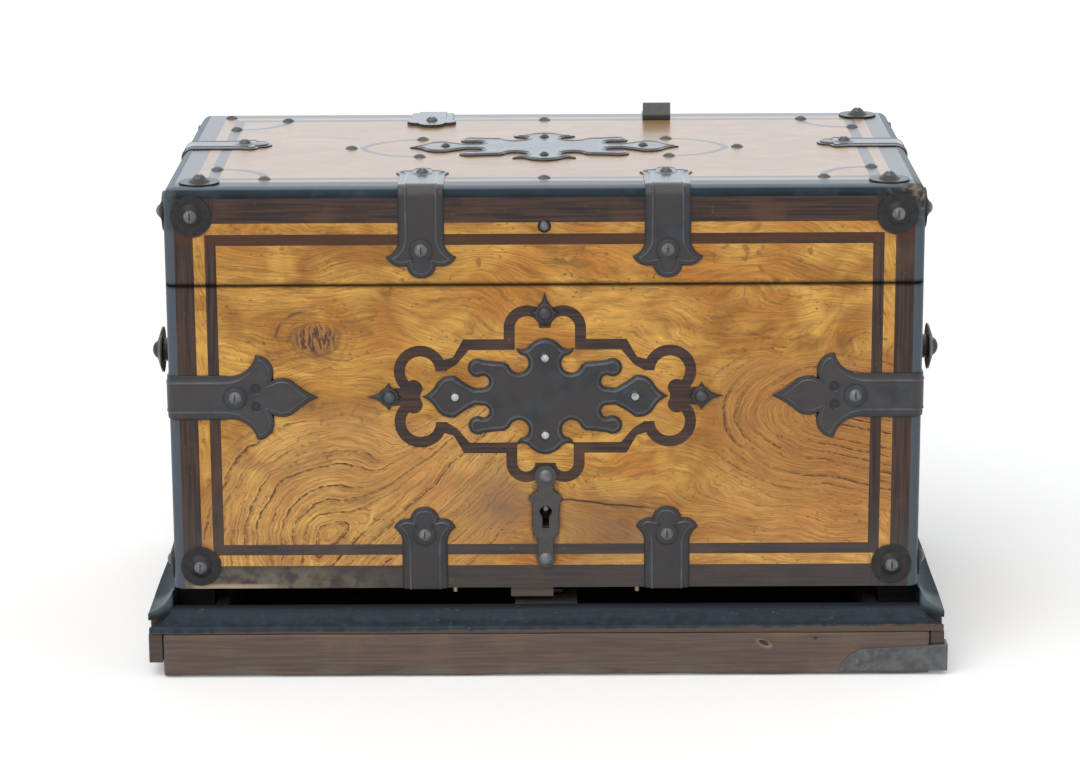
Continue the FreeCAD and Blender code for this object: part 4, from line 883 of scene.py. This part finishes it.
# Bearers
# Rough softwood strips inside the plinth that carry the chest, sawn and nailed.
# They are painted nearly black as shade, where no light reaches them.


def shaded_dark_wood(name, low, high):
    """Rough wood with fibres between two dark colours."""
    shaded = Finish(name)
    shaded.grain()
    fibre = shaded.figure(30.0, 1.4, 6.0, 3.0)
    shaded_colour = shaded.blend(fibre.ramp(0.3, 0.7), low, high)
    shaded.polish({"Base_Color": shaded_colour, "Roughness": fibre * 0.2 + 0.7, "IOR": 1.3}, fibre, 0.25)
    return shaded


dress(shaded_dark_wood("shaded_softwood", (0.006, 0.005, 0.005), (0.016, 0.013, 0.011)), "plinth_bearers")

# Hollow mouldings on the plinth
# Run with a hollow plane, ebonised and glued on top of the plinth boards, mitred at the corners.
# The front length is glued to the drawer and moves with it.
black = Finish("ebonised_moulding")
ripple = black.noise(black.vector(black.x / 60.0, black.y / 60.0, black.z / 1.6), 3.0)
scuff = black.clouds(5.0, 4.0)
scrape = black.noise(black.vector(black.x / 3.0, black.y / 2.0, black.z / 0.9), 2.0)
uneven_sheen = scuff.ramp(0.3, 0.7)
off_centre = abs(black.x)
# The black has worn off the fillet of the front, more towards the right
worn_line = black.x * 0.008 + 24.1 + (scuff - 0.5) * 2.4
worn = (worn_line - black.z).ramp(-0.3, 0.5) * black.y.ramp(-111.0, -112.0)
bare_wood = black.blend(ripple, (0.072, 0.050, 0.040), (0.125, 0.086, 0.066))
# The lower hollow of the front is painted a lighter blue grey and the front ends of the sides a pale blue
# grey as painted reflection, and the top is painted black as shade with Metallic there so that it shows no
# shine
painted_hollow_sheen = black.z.ramp(32.5, 26.5) * black.y.ramp(-101.0, -103.0)
painted_end_highlight = off_centre.ramp(180.4, 182.4) * black.z.ramp(29.5, 35.0) * black.y.ramp(-84.0, -96.0)
painted_top_shade = black.z.ramp(30.2, 33.4) * black.y.ramp(-98.0, -99.0) * off_centre.ramp(181.0, 180.4)
tone = black.blend(ripple.ramp(0.3, 0.7), (0.009, 0.014, 0.019), (0.020, 0.028, 0.036))
tone = black.coats(tone, (scuff.ramp(0.62, 0.74) * 0.4, (0.060, 0.062, 0.064)),
                   (painted_hollow_sheen * (uneven_sheen * 0.5 + 0.4), (0.036, 0.050, 0.064)),
                   (scrape.ramp(0.68, 0.76) * 0.6, (0.130, 0.150, 0.165)), (worn, bare_wood),
                   (painted_end_highlight * (uneven_sheen * 0.3 + 0.6), (0.165, 0.198, 0.212)), (painted_top_shade, (0.009, 0.011, 0.014)))
black.polish({"Base_Color": tone, "Roughness": ripple * 0.15 + scuff * 0.12 + 0.42, "Metallic": painted_top_shade,
              "IOR": 1.24}, ripple + scuff * 0.4, 0.18)
moulding_run, moulding_fillet, moulding_top, moulding_eased = 12.0, 3.7, 1.0, 0.5
hollow_run, hollow_rise = 4.9, 5.9
moulding_dents = 0.22


def moulding_shape(inner_half, rise, gap):
    """A moulding along X with its back at Y 0: the profile of fillet and hollow is carried from end to end,
    and reaches further the further it stands out, which mitres the ends; two waves dent its face."""
    steps = [(moulding_run - moulding_eased, 0.0), (moulding_run - 0.15, 0.15, moulding_run, moulding_eased),
             (moulding_run, moulding_fillet - moulding_eased),
             (moulding_run - 0.2, moulding_fillet - 0.15, moulding_run - 0.7, moulding_fillet),
             (hollow_run, hollow_rise, moulding_top, rise - 0.3), (moulding_top - 0.3, rise),
             (0.0, rise), (0.0, 0.0)]
    profile = traced((0.0, 0.0), steps, 0.6)[:-1]
    out, height = profile[:, :1], profile[:, 1:]
    share = np.linspace(-1, 1, 181)
    place = (inner_half - gap + out) * share
    dents = 1 + np.sin(place / 17.0) * np.sin(place / 41.0 + 1.0)
    back = np.clip(out / moulding_run, 0, 1) * moulding_dents * dents - out
    points = np.stack((place, back, height + 0 * place), axis=-1).reshape(-1, 3)
    start = np.arange(len(profile)) * len(share)
    faces = quads(len(profile), len(share))[:, ::-1].tolist()
    return points, faces + [start[::-1].tolist(), (start + len(share) - 1).tolist()]


low, high = corners("plinth_mouldings")
end_points, end_faces = moulding_shape(body_high[1], high[2] - low[2], 0.0)
back_points, back_faces = moulding_shape(body_high[0], high[2] - low[2], 0.0)
foot_z = UP * low[2]
runs = [(laid(end_points, foot_z + LEFT * body_high[0], FRONT, RIGHT, UP), end_faces),
        (laid(end_points, foot_z + RIGHT * body_high[0], BACK, LEFT, UP), end_faces),
        (laid(back_points, foot_z + BACK * body_high[1], LEFT, FRONT, UP), back_faces)]
lay("plinth_hollow_mouldings", joined(*runs), black, "carcass", "moulding_wood", "plinth_mouldings",
    smooth=30.0)
low, high = corners("drawer_moulding")
front_points, front_faces = moulding_shape(body_high[0], high[2] - low[2], 0.4)
front_run = laid(front_points, FRONT * body_high[1] + UP * low[2], RIGHT, BACK, UP)
lay("drawer_hollow_moulding", (front_run, front_faces), black, "drawer", "moulding_wood", "drawer_moulding",
    smooth=30.0)

# Drawer
# A shallow pine drawer behind the front of the plinth: its front board is rounded and knocked about,
# the box is thin softwood, and an iron bracket nailed on holds the loose right corner together.


def board_shape(low, high, arris):
    """A board along X with rounded arrises: its section is carried along its length, and drawn in at both
    ends along a quarter circle, which rounds the ends too."""
    (start, low_y, low_z), (end, high_y, high_z) = low, high
    bend = 0.2929 * arris
    steps = [(high_y - arris, low_z), (high_y - bend, low_z + bend, high_y, low_z + arris),
             (high_y, high_z - arris), (high_y - bend, high_z - bend, high_y - arris, high_z),
             (low_y + arris, high_z), (low_y + bend, high_z - bend, low_y, high_z - arris),
             (low_y, low_z + arris), (low_y + bend, low_z + bend, low_y + arris, low_z)]
    section = traced((low_y + arris, low_z), steps, 1.0)[:-1]
    turn = np.linspace(0, np.pi / 2, 5)
    draw = arris * (1 - np.sin(turn))
    ends = np.stack([inset(section, depth) if depth > 1e-6 else section for depth in draw])
    shift = arris * (1 - np.cos(turn))
    middle = np.linspace(start + arris, end - arris, int((end - start) / 1.5))[1:-1]
    places = np.concatenate((start + shift, middle, end - shift[::-1]))
    rows = np.concatenate((ends, np.broadcast_to(section, (len(middle), *section.shape)), ends[::-1]))
    points = np.empty((len(section), len(places), 3))
    points[..., 0] = places
    points[..., 1:] = rows.transpose(1, 0, 2)
    first = np.arange(len(section)) * len(places)
    faces = quads(len(section), len(places))[:, ::-1].tolist()
    return points, faces + [first[::-1].tolist(), (first + len(places) - 1).tolist()]


def worn_foot(points, foot, depth):
    """Wear along a lower edge: waves of several lengths, which fade upwards, lift what lies near the floor
    by up to a depth."""
    place = points[..., 0]
    waves = 0.25 * np.sin(place / 31.0 + 0.7) + 0.16 * np.sin(place / 11.3 + 2.1) + 0.09 * np.sin(place / 4.7)
    near = np.exp(-np.square((points[..., 2] - foot) / 3.0))
    points[..., 2] += depth * (0.5 + waves) * near
    return points


front_arris, foot_wear, hole_depth = 1.3, 0.9, 1.6
low, high = corners("drawer_front")
points, faces = board_shape(low, high, front_arris)
points = worn_foot(points, low[2], foot_wear)
above_hole = points[..., 2] - hole_z
along_hole = points[..., 0] - hole_x + above_hole * hole_lean
hole = np.exp(-np.square(along_hole / hole_length) - np.square(above_hole / hole_width))
facing = np.clip((low[1] + 2.0 - points[..., 1]) / 2.0, 0, 1)
points[..., 1] += hole_depth * hole * facing
lay("drawer_front_board", (points.reshape(-1, 3), faces), pine, "drawer", "plinth_wood", "drawer_front")
# The box is painted dark, partly as shade, so that the gap above the drawer reads dark
dress(shaded_dark_wood("aged_and_shaded_softwood", (0.030, 0.025, 0.022), (0.070, 0.055, 0.046)),
      "drawer_sides", "drawer_back", "drawer_bottom")
dress(heads, "corner_bracket")

# Brass pins
# Two small brass pins under the front edge of the body, driven into the floor board.
# They are dull, and brown at the root.
brass = Finish("dull_brass")
tarnish = brass.clouds(1.2, 3.0)
metal = brass.blend(tarnish.ramp(0.3, 0.7), (0.16, 0.13, 0.07), (0.34, 0.29, 0.18))
brass.polish({"Base_Color": metal, "Roughness": tarnish * 0.25 + 0.25, "Metallic": 1.0}, tarnish, 0.05)
dress(brass, "brass_pins")

# Studio
# A pale floor that fills the view, a white room that shows in what shines, and one wide soft lamp.
# The room is a little bluer towards the horizon, which tints what is seen at a low angle.


def in_sight(finish):
    """One for rays from the camera and for those that a shiny or clear piece sends on, else nought."""
    camera, glossy, clear = [finish.add("ShaderNodeLightPath", {}, {}, "Is %s Ray" % kind)
                             for kind in ("Camera", "Glossy", "Transmission")]
    return camera.math("MAXIMUM", glossy).math("MAXIMUM", clear)


class Room(Finish):
    """The room round the chest, built of the same nodes as a finish."""

    def __init__(self, name):
        self.open_tree(bpy.data.worlds.new(name))


floor_half = 6.0
floor_corners = floor_half * np.array(((-1, -1, 0), (1, -1, 0), (1, 1, 0), (-1, 1, 0)))
floor_mesh = bpy.data.meshes.new("floor")
floor_mesh.from_pydata(floor_corners.tolist(), [], [(0, 1, 2, 3)])
floor = bpy.data.objects.new("floor", floor_mesh)
bpy.context.scene.collection.objects.link(floor)
paper = Finish("white_paper")
sheet = paper.blend(paper.clouds(300.0), (0.93, 0.93, 0.93), (0.95, 0.95, 0.95))
glow = paper.blend(in_sight(paper), (0.0, 0.0, 0.0), (0.15, 0.15, 0.15))
paper.polish({"Base_Color": sheet, "Emission_Color": glow, "Emission_Strength": 1.0, "Roughness": 0.9,
              "Specular_IOR_Level": 0.0})
floor_mesh.materials.append(paper.owner)

room = Room("white_room")
*_, height = room.parts(room.add("ShaderNodeTexCoord", {}, {}, "Generated"))
above = room.add("ShaderNodeMapRange", {}, {"Value": height, "From Min": 0.15, "From Max": 0.6})
tint = room.blend(above, (0.94, 1.03, 1.13), (0.96, 0.985, 1.0))
light = room.add("ShaderNodeBackground", {}, {"Color": tint, "Strength": in_sight(room) * 0.4 + 0.6})
room.add_output(light, "ShaderNodeOutputWorld")
bpy.context.scene.world = room.owner

lamp_data = bpy.data.lights.new("soft_lamp", "SUN")
lamp_data.energy = 1.7
lamp_data.angle = np.radians(60.0)
lamp_data.color = (1.0, 0.985, 0.96)
lamp = bpy.data.objects.new("soft_lamp", lamp_data)
lamp.rotation_euler = (np.radians(40.0), 0.0, np.radians(-25.0))
bpy.context.scene.collection.objects.link(lamp)

# Camera
# Stands in front of the chest and looks a little down on it, as in the picture of the real one.
# Its place, turn and lens were fitted to the corners of the chest.
pitch, yaw, roll = np.radians([14.331, -0.2015, -0.310])
stand = np.array((0.0032, -1.6988, 0.5532))
view = np.array((np.sin(yaw) * np.cos(pitch), np.cos(yaw) * np.cos(pitch), -np.sin(pitch)))
level_right = np.array((np.cos(yaw), -np.sin(yaw), 0.0))
level_up = np.cross(level_right, view)
image_right = np.cos(roll) * level_right + np.sin(roll) * level_up
image_up = np.cos(roll) * level_up - np.sin(roll) * level_right
placing = np.eye(4)
placing[:3] = np.column_stack((image_right, image_up, -view, stand))
camera_data = bpy.data.cameras.new("camera")
camera_data.lens = 115.29
camera_data.sensor_width = 36.0
camera = bpy.data.objects.new("camera", camera_data)
camera.matrix_world = Matrix(placing.tolist())
bpy.context.scene.collection.objects.link(camera)
bpy.context.scene.camera = camera
bpy.context.scene.view_settings.view_transform = "Standard"

bpy.context.view_layer.update()
